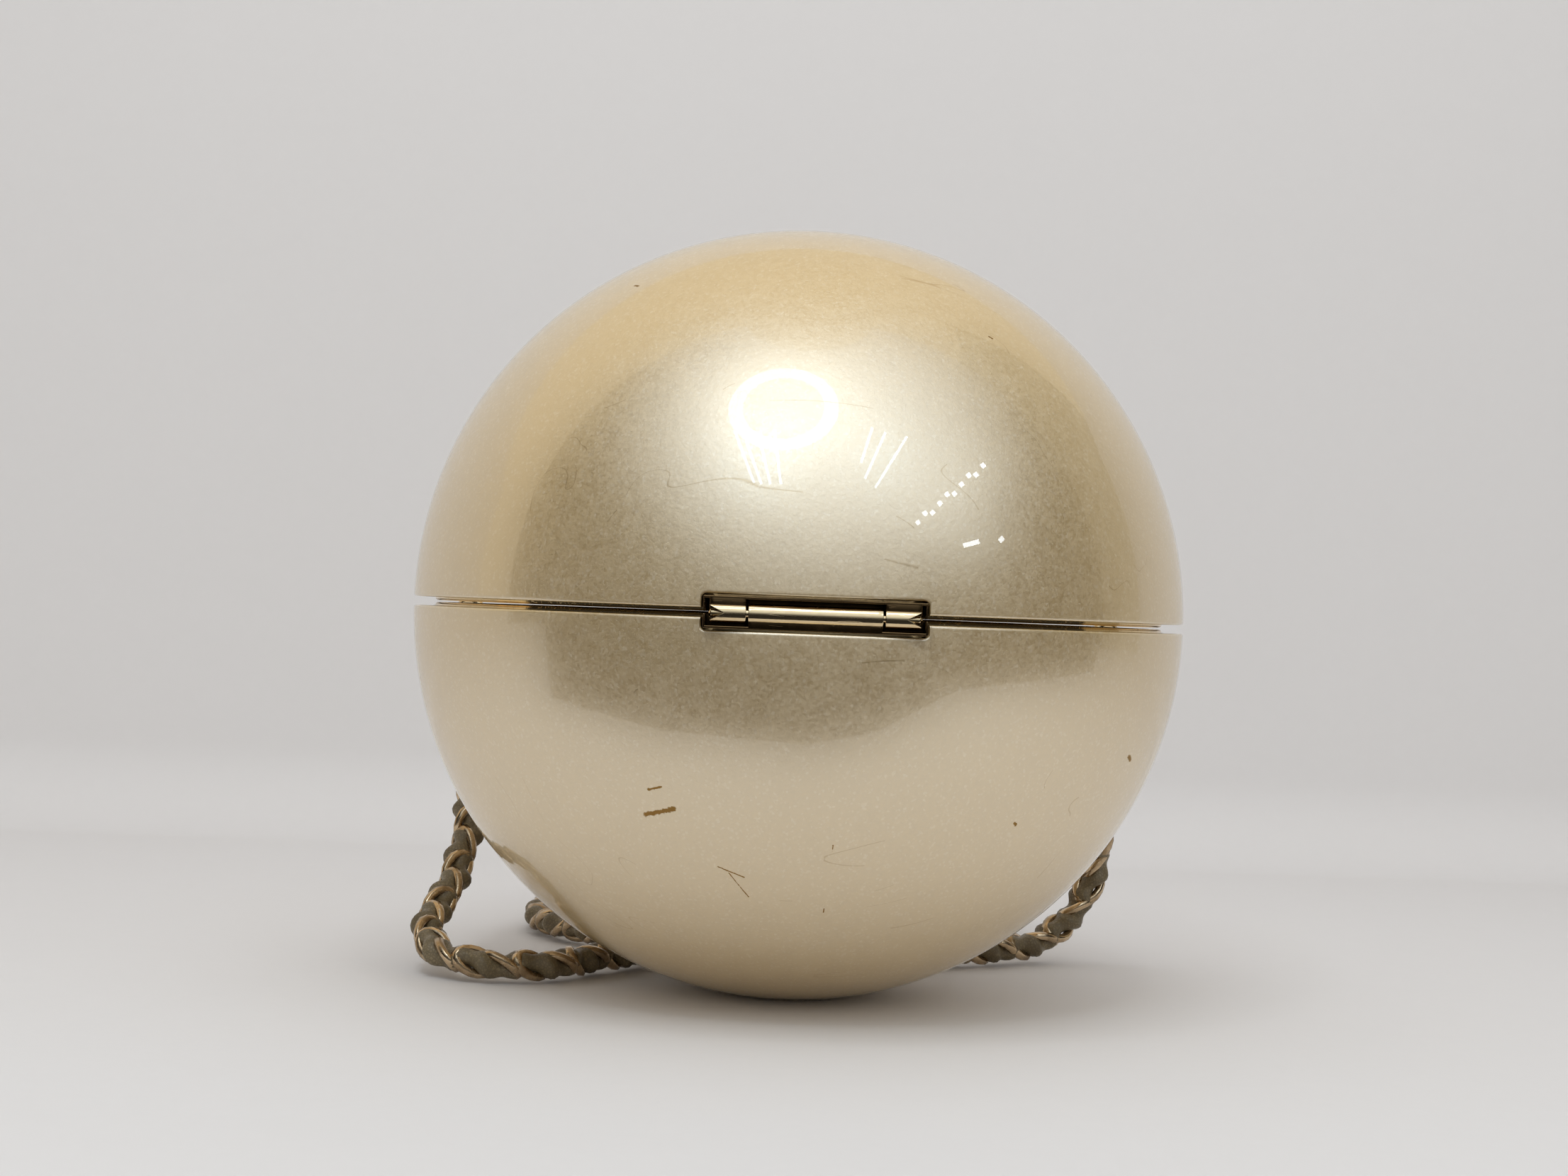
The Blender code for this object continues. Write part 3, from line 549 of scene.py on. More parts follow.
@dataclass(frozen=True)
class Leather:
    """Dyed leather: pebbled cells with creases between them, painted darker there as shade, paler where it
    is rubbed.
    """

    name: str
    colour: Colour
    rubbed: Colour
    cells_per_metre: float = 1500.0
    crease: float = 0.00006
    roughness: float = 0.55
    sheen: float = 0.15

    def material(self, effects: Effects) -> bpy.types.Material:
        """Builds the material."""
        paint = Paint(self.name)
        nodes = paint.nodes
        scale = nodes.add("ShaderNodeVectorMath", operation="SCALE")
        scale.inputs["Scale"].default_value = self.cells_per_metre
        nodes.link(paint.position, scale.inputs[0])
        cells = nodes.add("ShaderNodeTexVoronoi", feature="DISTANCE_TO_EDGE", in_Scale=1.0)
        nodes.link(scale.outputs[0], cells.inputs["Vector"])
        pebble = nodes.ramp(cells.outputs["Distance"], 0.0, 0.28)
        grain = paint.use(effects.grain, Scale=self.cells_per_metre * 2.4)
        marks = paint.use(effects.smudges, Scale=160.0, Low=0.42, High=0.66)
        colour = nodes.mix(marks.outputs["Mark"], (*self.colour, 1.0), (*self.rubbed, 1.0))
        # Painted shade: the creases between the pebbles are mixed towards a darker colour.
        dark = tuple(channel * 0.55 for channel in self.colour)
        creased = nodes.math("MULTIPLY", nodes.math("SUBTRACT", 1.0, pebble), 0.6)
        paint.feed(nodes.mix(creased, colour, (*dark, 1.0)), "Base Color")
        rough = nodes.math("ADD", self.roughness, nodes.math("MULTIPLY", creased, 0.2))
        rubbed = nodes.math("MULTIPLY", marks.outputs["Mark"], 0.12)
        paint.feed(nodes.math("SUBTRACT", rough, rubbed), "Roughness")
        height = nodes.math("ADD", pebble, nodes.math("MULTIPLY", grain.outputs["Grain"], 0.5))
        paint.bump(height, self.crease)
        paint.set(Sheen_Weight=self.sheen, Sheen_Roughness=0.4, Sheen_Tint=(1.0, 0.95, 0.85, 1.0))
        return paint.material


@dataclass(frozen=True)
class StudioPaper:
    """The pale seamless paper under and behind the object, seen through from its back."""

    colour: Colour = (0.785, 0.766, 0.757)

    def material(self, effects: Effects) -> bpy.types.Material:
        """Builds the material."""
        paint = Paint("studio_paper")
        grain = paint.use(effects.grain, Scale=420.0)
        tone = paint.nodes.ramp(grain.outputs["Grain"], 0.2, 0.8)
        darker = tuple(channel * 0.985 for channel in self.colour)
        paint.feed(paint.nodes.mix(tone, (*darker, 1.0), (*self.colour, 1.0)), "Base Color")
        paint.bump(grain.outputs["Grain"], 0.00002)
        paint.set(Roughness=0.75)
        nodes = paint.nodes
        back = nodes.add("ShaderNodeNewGeometry").outputs["Backfacing"]
        clear = nodes.add("ShaderNodeBsdfTransparent")
        either = nodes.add("ShaderNodeMixShader")
        nodes.link(back, either.inputs[0])
        nodes.link(paint.shader.outputs[0], either.inputs[1])
        nodes.link(clear.outputs[0], either.inputs[2])
        output = paint.material.node_tree.nodes["Material Output"]
        nodes.link(either.outputs[0], output.inputs["Surface"])
        return paint.material


@dataclass
class Wardrobe:
    """Every finish, built once."""

    marks: list[tuple[Vector, Vector, float]]
    effects: Effects = field(default_factory=Effects)

    def __post_init__(self) -> None:
        """Builds the materials from their finishes."""
        self.pearl = PearlResin().material(self.effects, self.marks)
        self.gold = PolishedMetal().material(self.effects)
        self.rim = self.metal("rim_gold_mirror", (0.80, 0.60, 0.32), (0.62, 0.46, 0.26), 0.07, 0.15)
        # Painted shade: the hinge tray's gold, darkened to stand in for the shade inside the hinge recess.
        self.shade = self.metal("recess_gold_painted_shade", (0.17, 0.108, 0.05), (0.07, 0.042, 0.02), 0.12, 0.6)
        # Painted shadow: a near-black metal for the sheets set behind the knuckles, where the recess holds
        # only shadow.
        self.dark = self.metal("recess_painted_shadow", (0.045, 0.028, 0.012), (0.02, 0.012, 0.006), 0.35, 0.4)
        self.chain = self.metal("chain_gold", (0.62, 0.47, 0.30), (0.24, 0.16, 0.085), 0.10, 0.9)
        self.steel = self.metal("brushed_steel", (0.60, 0.59, 0.57), (0.5, 0.49, 0.47), 0.3, 0.3)
        calf = Leather("lining_leather_calf", (0.42, 0.33, 0.22), (0.50, 0.41, 0.29))
        self.lining = calf.material(self.effects)
        olive, rubbed = (0.155, 0.115, 0.055), (0.27, 0.21, 0.115)
        lace = Leather("strap_leather_lace", olive, rubbed, 1900.0, 0.00003, 0.42, 0.05)
        self.lace = lace.material(self.effects)
        self.paper = StudioPaper().material(self.effects)

    def metal(
        self, name: str, colour: Colour, worn: Colour, roughness: float, wear: float
    ) -> bpy.types.Material:
        """A polished metal of its own colours, roughness and wear."""
        return PolishedMetal(name, colour, worn, roughness, wear).material(self.effects)


# ---------------------------------------------------------------- the studio


@dataclass
class Studio:
    """Camera, lights, paper floor and the cards that the gloss mirrors."""

    ball: Vector
    ball_radius: float = 60.0 * MM
    distance: float = 0.400
    azimuth: float = math.radians(2.3)
    over_ball: float = 0.001
    lens_in_frame_widths: float = 1.618
    roll: float = math.radians(2.2)
    ball_right: float = 0.00559
    ball_down: float = 0.01048
    paper_back: float = 0.212
    paper_bend: float = 0.022
    paper_top: float = 0.36
    apron_end: float = 1.8
    apron_drop: float = 0.3 * MM
    world_strength: float = 0.565
    haze_spot: tuple[float, float] = (0.06, 0.46)
    haze_edge: float = 0.52
    haze_core: float = 1.02
    haze_strength: float = 1.6

    def camera(self) -> None:
        """Places the camera so that the ball's middle stands a little right of and below the middle.

        The camera is turned level first, then about the ball's own line of sight by the roll, and
        last by two small angles that move the ball off the middle of the view.
        """
        data = bpy.data.cameras.new("camera")
        data.sensor_width = 36.0
        data.lens = 36.0 * self.lens_in_frame_widths
        data.clip_start = 0.01
        obj = bpy.data.objects.new("camera", data)
        away = Vector((-math.sin(self.azimuth), -math.cos(self.azimuth), 0.0))
        obj.location = self.ball + away * self.distance + Vector((0, 0, self.over_ball))
        line = (self.ball - obj.location).normalized()
        level = line.to_track_quat("-Z", "Y").to_matrix()
        rolled = Matrix.Rotation(self.roll, 3, -line) @ level
        yaw, pitch = math.atan(self.ball_right), math.atan(self.ball_down)
        offset = Euler((pitch, yaw, 0.0)).to_matrix()
        obj.matrix_world = Matrix.Translation(obj.location) @ (rolled @ offset).to_4x4()
        bpy.context.scene.collection.objects.link(obj)
        bpy.context.scene.camera = obj

    def paper(self, material: bpy.types.Material) -> None:
        """A seamless sheet, flat on the floor and bent up behind the object, and a floor beyond it."""
        bend = np.linspace(0, np.pi / 2, 24)
        arc_y = self.paper_back + self.paper_bend * np.sin(bend)
        arc = np.stack([arc_y, self.paper_bend * (1 - np.cos(bend))], -1)
        sheet = np.concatenate([[[-1.6, 0.0]], arc, [[arc[-1, 0], self.paper_top]]])
        apron = np.array([[self.paper_back, -self.apron_drop], [self.apron_end, -self.apron_drop]])
        across = np.array([-2.0, 2.0])
        grids = []
        for line in (sheet, apron):
            x = np.broadcast_to(across[None, :], (len(line), 2))
            y, z = (np.broadcast_to(line[:, k, None], (len(line), 2)) for k in (0, 1))
            grids.append(Grid(np.stack([x, y, z], axis=-1), wrap_columns=False))
        mesh = mesh_from_grids("paper", grids)
        mesh.materials.append(material)
        obj = bpy.data.objects.new("paper", mesh)
        bpy.context.scene.collection.objects.link(obj)

    def seen_at(self, right: float, up: float) -> Vector:
        """The way out of the ball at a spot on its disc, in shares of the disc's radius."""
        turn = bpy.context.scene.camera.matrix_world.to_3x3()
        out = Vector((right, up, math.sqrt(max(0.0, 1 - right * right - up * up))))
        return (turn @ out).normalized()

    def mirrored_at(self, right: float, up: float) -> Vector:
        """The direction in which the gloss at a spot on the disc looks: 2 (n.v) n - v."""
        normal = self.seen_at(right, up)
        view = self.seen_at(0.0, 0.0)
        return (2 * normal.dot(view) * normal - view).normalized()

    def facing_spot(self, right: float, up: float, distance: float) -> np.ndarray:
        """The point at a distance from the ball's surface that its gloss mirrors at a spot on the disc."""
        surface = self.ball + self.seen_at(right, up) * self.ball_radius
        return np.array(surface + self.mirrored_at(right, up) * distance)

    def glow(self, name: str, colour: Colour, strength: float) -> bpy.types.Material:
        """A plain light-giving material for a card."""
        made = bpy.data.materials.new(name)
        made.use_nodes = True
        shader = made.node_tree.nodes["Principled BSDF"]
        shader.inputs["Base Color"].default_value = (0, 0, 0, 1)
        shader.inputs["Specular IOR Level"].default_value = 0.0
        shader.inputs["Emission Color"].default_value = (*colour, 1.0)
        shader.inputs["Emission Strength"].default_value = strength
        return made

    def card(self, name: str, grids: list[Grid], material: bpy.types.Material, lights: bool = False) -> None:
        """A staged card that is only mirrored, or that lights the scene too."""
        mesh = mesh_from_grids(name, grids)
        mesh.materials.append(material)
        obj = bpy.data.objects.new(name, mesh)
        obj.visible_camera = False
        obj.visible_diffuse = lights
        obj.visible_shadow = False
        bpy.context.scene.collection.objects.link(obj)

    def dome_patch(
        self, radius: float, sides: tuple[float, ...], low: tuple[float, ...], high: float
    ) -> Grid:
        """Part of a dome round the ball, between two bearings from the camera side and two heights.

        A bearing of 0 is towards -Y, and heights are angles over the level through the ball. The
        lower edge runs through a height at each of the given bearings.
        """
        turns = np.linspace(sides[0], sides[-1], 49)
        bearing = np.radians(turns)[None, :]
        start = np.radians(np.interp(turns, sides, low))[None, :]
        height = start + (math.radians(high) - start) * np.linspace(0, 1, 25)[:, None]
        x = radius * np.cos(height) * np.sin(bearing)
        y = -radius * np.cos(height) * np.cos(bearing)
        z = radius * np.sin(height) + 0 * bearing
        return Grid(np.stack([x, y, z], -1) + np.array(self.ball), wrap_columns=False, flipped=True)

    def ring(self, middle: np.ndarray, across: float, tube: float) -> Grid:
        """A ring lamp round a point, with its face turned to the ball."""
        towards = (Vector(middle) - self.ball).normalized()
        turn = np.array(towards.to_track_quat("Z", "Y").to_matrix())
        a = np.linspace(0, 2 * np.pi, 64, endpoint=False)[:, None]
        b = np.linspace(0, 2 * np.pi, 12, endpoint=False)[None, :]
        r = across + tube * np.cos(b)
        local = np.stack([r * np.cos(a), r * np.sin(a), tube * np.sin(b) + 0 * a], -1)
        return Grid(local @ turn.T + middle, wrap_rows=True)

    def strip(self, start: tuple[float, float], end: tuple[float, float], width: float) -> Grid:
        """A narrow lamp whose mirror image runs between two spots on the ball's disc."""
        share = np.linspace(0, 1, 9)[:, None]
        spots = np.array(start) * (1 - share) + np.array(end) * share
        line = np.array([self.facing_spot(right, up, 0.45) for right, up in spots])
        side = np.cross(line - np.array(self.ball), line[-1] - line[0])
        side *= width / 2 / np.linalg.norm(side, axis=1, keepdims=True)
        return Grid(np.stack([line - side, line + side], axis=1), wrap_columns=False)

    def lamps(self) -> None:
        """The ceiling's ring lamp, its tubes and its rows of small spots, placed by where they mirror."""
        ring = self.ring(self.facing_spot(-0.038, 0.512, 0.42), 0.094, 0.0145)
        self.card("ring_lamp", [ring], self.glow("ring_lamp", (0.92, 0.97, 1.0), 5.2), True)
        tubes = [
            ((-0.158, 0.455), (-0.110, 0.325)),
            ((-0.130, 0.430), (-0.092, 0.322)),
            ((-0.098, 0.440), (-0.070, 0.322)),
            ((-0.060, 0.455), (-0.045, 0.322)),
            ((0.180, 0.462), (0.151, 0.374)),
            ((0.212, 0.450), (0.160, 0.335)),
            ((0.265, 0.440), (0.185, 0.313)),
        ]
        grids = [self.strip(start, end, 0.0055) for start, end in tubes]
        self.card("tube_lamps", grids, self.glow("tube_lamps", (0.70, 0.93, 1.15), 9.0), True)
        spots = []
        for step in range(10):
            right, up = 0.284 + 0.0182 * step, 0.225 + 0.0155 * step + 0.008 * math.sin(2.1 * step)
            spots.append(self.strip((right, up), (right + 0.009, up + 0.007), 0.010))
        for right, up, long in ((0.400, 0.172, 0.04), (0.490, 0.182, 0.01)):
            spots.append(self.strip((right, up), (right + long, up + 0.01), 0.010))
        self.card("spot_lamps", spots, self.glow("spot_lamps", (0.9, 1.0, 1.1), 13.0), True)

    def haze(self) -> bpy.types.Material:
        """The dim room in front, with a soft cool glow round the lamps.

        The glow is a cubic ease of the cosine between a point's direction and the glow's middle.
        """
        paint = Paint("room_haze")
        nodes = paint.nodes
        away = nodes.add("ShaderNodeVectorMath", operation="SUBTRACT")
        nodes.link(paint.position, away.inputs[0])
        away.inputs[1].default_value = self.ball
        unit = nodes.add("ShaderNodeVectorMath", operation="NORMALIZE")
        nodes.link(away.outputs[0], unit.inputs[0])
        dot = nodes.add("ShaderNodeVectorMath", operation="DOT_PRODUCT")
        nodes.link(unit.outputs[0], dot.inputs[0])
        dot.inputs[1].default_value = self.mirrored_at(*self.haze_spot)
        share = nodes.add("ShaderNodeMapRange", interpolation_type="SMOOTHSTEP")
        share.inputs["From Min"].default_value = self.haze_edge
        share.inputs["From Max"].default_value = self.haze_core
        nodes.link(dot.outputs["Value"], share.inputs["Value"])
        dark, cool = (0.02, 0.02, 0.02, 1.0), (0.70, 0.76, 0.82, 1.0)
        paint.feed(nodes.mix(share.outputs[0], dark, cool), "Emission Color")
        paint.set(Base_Color=(0, 0, 0, 1), Specular_IOR_Level=0.0, Emission_Strength=self.haze_strength)
        return paint.material

    def lights(self) -> None:
        """The world, the soft lamps and the mirrored cards."""
        world = bpy.data.worlds.new("studio")
        world.use_nodes = True
        shade = world.node_tree.nodes["Background"]
        shade.inputs[0].default_value = (1.0, 0.985, 0.965, 1.0)
        shade.inputs[1].default_value = self.world_strength
        bpy.context.scene.world = world
        tent = self.glow("tent", (1.0, 0.84, 0.60), 0.72)
        self.card("tent", [self.dome_patch(0.9, (-180, 180), (0, 0), 90)], tent)
        room = self.haze()
        self.card("dark_room", [self.dome_patch(0.64, (-90, 92), (-4, -4), 78)], room)
        bearings, depths = (-56, -30, 0, 14, 30, 66), (-17, -23, -25, -22, -13, -8)
        self.card("dark_floor", [self.dome_patch(0.10, bearings, depths, -2)], room)
        side_room = self.glow("side_room", (1.0, 0.88, 0.65), 0.32)
        self.card("side_room", [self.dome_patch(0.66, (90, 120), (-4, -4), 60)], side_room)
        self.lamps()
        self.area("top_panel", (0.01, -0.22, 0.56), 0.34, 0.30, (1.0, 0.99, 0.98))
        self.area("back_panel", (0.0, 0.02, 0.75), 0.7, 0.45, (1.0, 0.99, 0.98))

    def area(
        self, name: str, place: tuple[float, float, float], size: float, watts: float, colour: Colour
    ) -> None:
        """A square soft lamp that faces the ball and isn't mirrored."""
        data = bpy.data.lights.new(name, "AREA")
        data.size = size
        data.energy = watts
        data.color = colour
        obj = bpy.data.objects.new(name, data)
        obj.location = place
        obj.rotation_euler = (self.ball - Vector(place)).to_track_quat("-Z", "Y").to_euler()
        obj.visible_glossy = False
        bpy.context.scene.collection.objects.link(obj)

    def marks(self, radius: float) -> list[tuple[Vector, Vector, float]]:
        """The wear on the back of the ball, from spots on its disc to points in the frame."""
        spots = [
            ((-0.355, -0.452), (-0.290, -0.436), 0.00042),
            ((-0.348, -0.392), (-0.318, -0.385), 0.00020),
            ((-0.190, -0.575), (-0.130, -0.600), 0.00012),
            ((-0.165, -0.590), (-0.120, -0.650), 0.00010),
            ((0.075, -0.520), (0.055, -0.690), 0.00010),
            ((0.802, -0.340), (0.808, -0.350), 0.00040),
            ((0.503, -0.482), (0.507, -0.486), 0.00026),
            ((-0.405, 0.815), (-0.395, 0.812), 0.00022),
            ((0.455, 0.672), (0.462, 0.668), 0.00018),
        ]
        places = []
        for start, end, width in spots:
            first, last = (self.ball + self.seen_at(*spot) * radius for spot in (start, end))
            places.append((first, last, width))
        return places

    def build(self, paper: bpy.types.Material) -> None:
        """Sets up the paper, the light and plain colour output."""
        self.paper(paper)
        self.lights()
        bpy.context.scene.view_settings.view_transform = "Standard"


# ---------------------------------------------------------------- the two halves


@dataclass
class Notch:
    """A rectangular cut in a shell's edge: where it is round the ball, and its half width and reach."""

    bearing: float
    half_width: float
    reach: float
    corner: float


@dataclass
class HalfShell:
    """One resin half shell, a closed wall whose seam edge dips round the notches in it."""

    side: Side
    centre: Vector
    radius: float = 60.0 * MM
    wall: float = 3.0 * MM
    edge: float = 0.65 * MM
    bevel: float = 0.35 * MM
    foot: float = 8.0 * MM
    clasp_drop: float = 6.6 * MM
    pocket: tuple[float, float] = (9.3 * MM, 4.9 * MM)
    pocket_floor: float = 58.3 * MM
    button_hole: float = 4.0 * MM
    hole_floor: float = 57.05 * MM

    def notches(self) -> list[Notch]:
        """The cuts in this half's edge: the hinge's in both, the strap lugs' in the base."""
        hinge = Notch(-math.pi / 2, 15.5 * MM, (2.6 if self.side is Side.LID else 2.4) * MM, 0.7 * MM)
        if self.side is Side.LID:
            return [hinge]
        lug = math.radians(56)
        reach = 3.2 * MM
        return [hinge, *(Notch(math.pi / 2 + turn, 2.3 * MM, reach, 0.3 * MM) for turn in (-lug, lug))]

    def notch_outline(self, notch: Notch) -> np.ndarray:
        """Points (along, up) round a notch's mouth, from its left side to its right side.

        Straight sides go up from the seam edge, and quarter circles lead into the flat top.
        """
        half, top, corner = notch.half_width, notch.reach, notch.corner
        rise = np.linspace(self.edge, top - corner, 6)[:-1]
        turn = np.linspace(0, np.pi / 2, 9)
        left = np.concatenate([
            np.stack([np.full(len(rise), -half), rise], -1),
            np.stack([-half + corner - corner * np.cos(turn), top - corner + corner * np.sin(turn)], -1),
        ])
        count = max(3, round((half - corner) / (0.7 * MM)))
        flat = np.linspace(corner - half, half - corner, 2 * count + 1)[1:-1]
        middle = np.stack([flat, np.full(len(flat), top)], -1)
        right = left[::-1] * np.array([-1, 1])
        return np.concatenate([left, middle, right])

    def edge_line(self) -> tuple[np.ndarray, np.ndarray, np.ndarray]:
        """The shell's whole edge, once round the ball.

        Returns:
            Bearings in radians, heights over the seam, and for each point the unit direction
            (along, up) that leads from the edge into the shell.
        """
        bearings, heights, fixed = [], [], []
        notches = sorted(self.notches(), key=lambda n: n.bearing)
        spans = [math.asin(n.half_width / self.radius) for n in notches]
        for k, notch in enumerate(notches):
            outline = self.notch_outline(notch)
            across = np.sqrt(self.radius**2 - outline[:, 1] ** 2)
            bearings.append(notch.bearing + np.arcsin(outline[:, 0] / across))
            heights.append(outline[:, 1])
            fixed.append(outline[:, 0])
            start = notch.bearing + spans[k]
            following = notches[(k + 1) % len(notches)]
            end = following.bearing - spans[(k + 1) % len(notches)]
            end += 2 * math.pi if end < start else 0.0
            middle = (start + end) / 2
            holds_clasp = self.side is Side.BASE and abs(middle - math.pi / 2) < 0.1
            count = max(4, round((end - start) / math.radians(0.62 if holds_clasp else 1.0)))
            ease = np.linspace(0, 1, count + 1)[1:-1]
            pull = 0.12 if holds_clasp else -0.01
            bearings.append(start + (end - start) * (ease + pull * np.sin(2 * np.pi * ease)))
            heights.append(np.full(count - 1, self.edge))
        bearing, height = np.concatenate(bearings), np.concatenate(heights)
        along = np.unwrap(bearing) * self.radius
        ahead = np.stack([np.roll(along, -1), np.roll(height, -1)], -1)
        behind = np.stack([np.roll(along, 1), np.roll(height, 1)], -1)
        ahead[-1, 0] += 2 * np.pi * self.radius
        behind[0, 0] -= 2 * np.pi * self.radius
        tangent = ahead - behind
        inward = np.stack([-tangent[:, 1], tangent[:, 0]], -1)
        inward /= np.linalg.norm(inward, axis=1, keepdims=True)
        return bearing, height, inward

    def on_ball(self, bearing: np.ndarray, height: np.ndarray, radius: np.ndarray | float) -> np.ndarray:
        """Points at a bearing and a height over the seam, on a ball of a radius about the centre."""
        height = np.broadcast_to(height, np.broadcast(bearing, height, radius).shape)
        across = np.sqrt(np.maximum(np.square(radius) - height**2, 0))
        return np.stack([across * np.cos(bearing), across * np.sin(bearing), height], -1)

    def skin(
        self, bearing: np.ndarray, height: np.ndarray, radius: float, rows: int, last: float
    ) -> np.ndarray:
        """Rows from an edge line to the pole of a ball of a radius.

        The latitude of row k is start + (last - start) * ease_k, where the ease packs rows near the
        edge, and the bearings slide from the edge's own spacing to an even one over 20 degrees.
        """
        steps = np.linspace(0, 1, rows)[:, None]
        ease = 0.16 * steps + 0.84 * steps**1.9
        start = np.arcsin(height / radius)[None, :]
        latitude = start + (last - start) * ease
        even = np.unwrap(bearing)
        width = 21
        padded = np.concatenate([even[-width:] - 2 * np.pi, even, even[:width] + 2 * np.pi])
        blurred = np.convolve(padded, np.ones(2 * width + 1) / (2 * width + 1), "same")[width:-width]
        share = smoothstep(latitude - start, math.radians(0.5), math.radians(20))
        angle = even + (blurred - even) * share
        level = radius * np.cos(latitude)
        return np.stack([level * np.cos(angle), level * np.sin(angle), radius * np.sin(latitude)], -1)

    def press_clasp(self, points: np.ndarray) -> np.ndarray:
        """Sinks the pocket of the clasp plate and the button's hole into the outer skin.

        Points near an outline are first drawn to it: with rho the distance from the clasp's middle
        in units of the outline, rho becomes 1 + (rho-1)|rho-1|^2/w^2 within w of 1. The depth then
        falls from the ball to the floor over a thin band at rho = 1. The pocket's floor is flat and
        the hole's floor is part of a ball just outside the inner skin.
        """
        made = points.copy()
        for half_x, half_z, floor, width, follows_ball in (
            (self.pocket[0], self.pocket[1], self.pocket_floor, 0.14, False),
            (self.button_hole, self.button_hole, self.hole_floor, 0.2, True),
        ):
            x, z = made[..., 0] / half_x, (made[..., 2] + self.clasp_drop) / half_z
            rho = np.hypot(x, z)
            front = made[..., 1] > 0
            near = (np.abs(rho - 1) < width) & front
            drawn = np.where(near, 1 + (rho - 1) * (rho - 1) ** 2 / width**2, rho) / np.maximum(rho, 1e-9)
            made[..., 0] = x * drawn * half_x
            made[..., 2] = z * drawn * half_z - self.clasp_drop
            beside = made[..., 0] ** 2 + made[..., 2] ** 2
            if follows_ball:
                surface = made[..., 1]
                depth = np.sqrt(np.maximum(floor**2 - beside, 0))
            else:
                outside = np.sqrt(np.maximum(self.radius**2 - beside, 0))
                surface = np.where(near, outside, made[..., 1])
                depth = np.full_like(surface, floor)
            inside = 1 - smoothstep(rho * drawn, 0.985, 1.0)
            sunk = np.minimum(surface, depth)
            made[..., 1] = np.where(front, surface + (sunk - surface) * inside, made[..., 1])
        return made

    def build(self, pearl: bpy.types.Material) -> None:
        """Builds the closed wall: outer skin, rounded edge, cut faces and inner skin."""
        sign = self.side.value
        bearing, height, inward = self.edge_line()
        rows = []
        for turn in np.linspace(np.pi / 2, 0, 5):
            step, depth = self.bevel * (1 - math.cos(turn)), self.bevel * (1 - math.sin(turn))
            shifted = bearing + inward[:, 0] * step / self.radius
            rows.append(self.on_ball(shifted, height + inward[:, 1] * step, self.radius - depth))
        rim = np.array(rows)
        start_bearing = bearing + inward[:, 0] * self.bevel / self.radius
        start_height = height + inward[:, 1] * self.bevel
        last = math.pi / 2
        rows_outside = 120 if self.side is Side.BASE else 90
        outer = self.skin(start_bearing, start_height, self.radius, rows_outside, last)
        if self.side is Side.BASE:
            outer = self.press_clasp(outer * np.array([1, 1, -1]))
            outer[..., 2] = np.maximum(outer[..., 2], -self.centre.z)
            outer = outer * np.array([1, 1, -1])
        inner_radius = self.radius - self.wall
        edge_point = rim[-1]
        keep_x = np.abs(edge_point[:, :1]) < 15.6 * MM
        keep_x &= edge_point[:, 1:2] < 0
        cut = []
        for share in np.linspace(0, 1, 6)[1:]:
            radius = (self.radius - self.bevel) + (inner_radius - self.radius + self.bevel) * share
            straight = edge_point.copy()
            straight[:, 1] = -np.sqrt(radius**2 - edge_point[:, 0] ** 2 - edge_point[:, 2] ** 2)
            radial = self.on_ball(bearing, height, radius)
            cut.append(np.where(keep_x, straight, radial))
        cut = np.array(cut)
        inner_bearing = np.arctan2(cut[-1, :, 1], cut[-1, :, 0])
        inner = self.skin(inner_bearing, height, inner_radius, 30, last)
        rings = np.concatenate([outer[:0:-1], rim, cut[:-1], inner])
        rings = rings * np.array([1, 1, sign]) + np.array(self.centre)
        name = "pearl_shell_upper" if self.side is Side.LID else "pearl_shell_lower"
        grid = Grid(rings, first_pole=True, last_pole=True, flipped=self.side is Side.LID)
        body = "lid" if self.side is Side.LID else "base"
        obj = piece(name, body, Finish.PEARL, [grid], pearl)
        sharpen(obj, 40)
        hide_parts("upper_shell" if self.side is Side.LID else "lower_shell")


@dataclass
class HalfRim:
    """One metal rim: a band inside the shell with a chamfered seam edge."""

    side: Side
    centre: Vector
    outer: float = 56.7 * MM
    inner: float = 54.7 * MM
    edge: float = 0.15 * MM
    deep: float = 9.15 * MM
    chamfer: float = 0.25 * MM
    steps: int = 360

    def build(self, metal: bpy.types.Material) -> None:
        """Turns the band's closed profile about the upright line through the centre."""
        low = np.linspace(self.edge + self.chamfer, self.deep, 12)
        outside = np.stack([np.sqrt(self.outer**2 - low**2), low], -1)
        inside = np.stack([np.sqrt(self.inner**2 - low**2), low], -1)[::-1]
        top = [(self.inner + self.chamfer, self.edge), (self.outer - self.chamfer, self.edge)]
        profile = np.concatenate([top, outside, inside])
        profile[:, 1] *= self.side.value
        points = turned(profile, self.steps, tuple(self.centre))
        grid = Grid(points, wrap_rows=True, flipped=self.side is Side.BASE)
        name, body = ("gold_rim_upper", "lid") if self.side is Side.LID else ("gold_rim_lower", "base")
        obj = piece(name, body, Finish.GOLD, [grid], metal)
        sharpen(obj, 25)
        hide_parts("upper_rim" if self.side is Side.LID else "lower_rim")


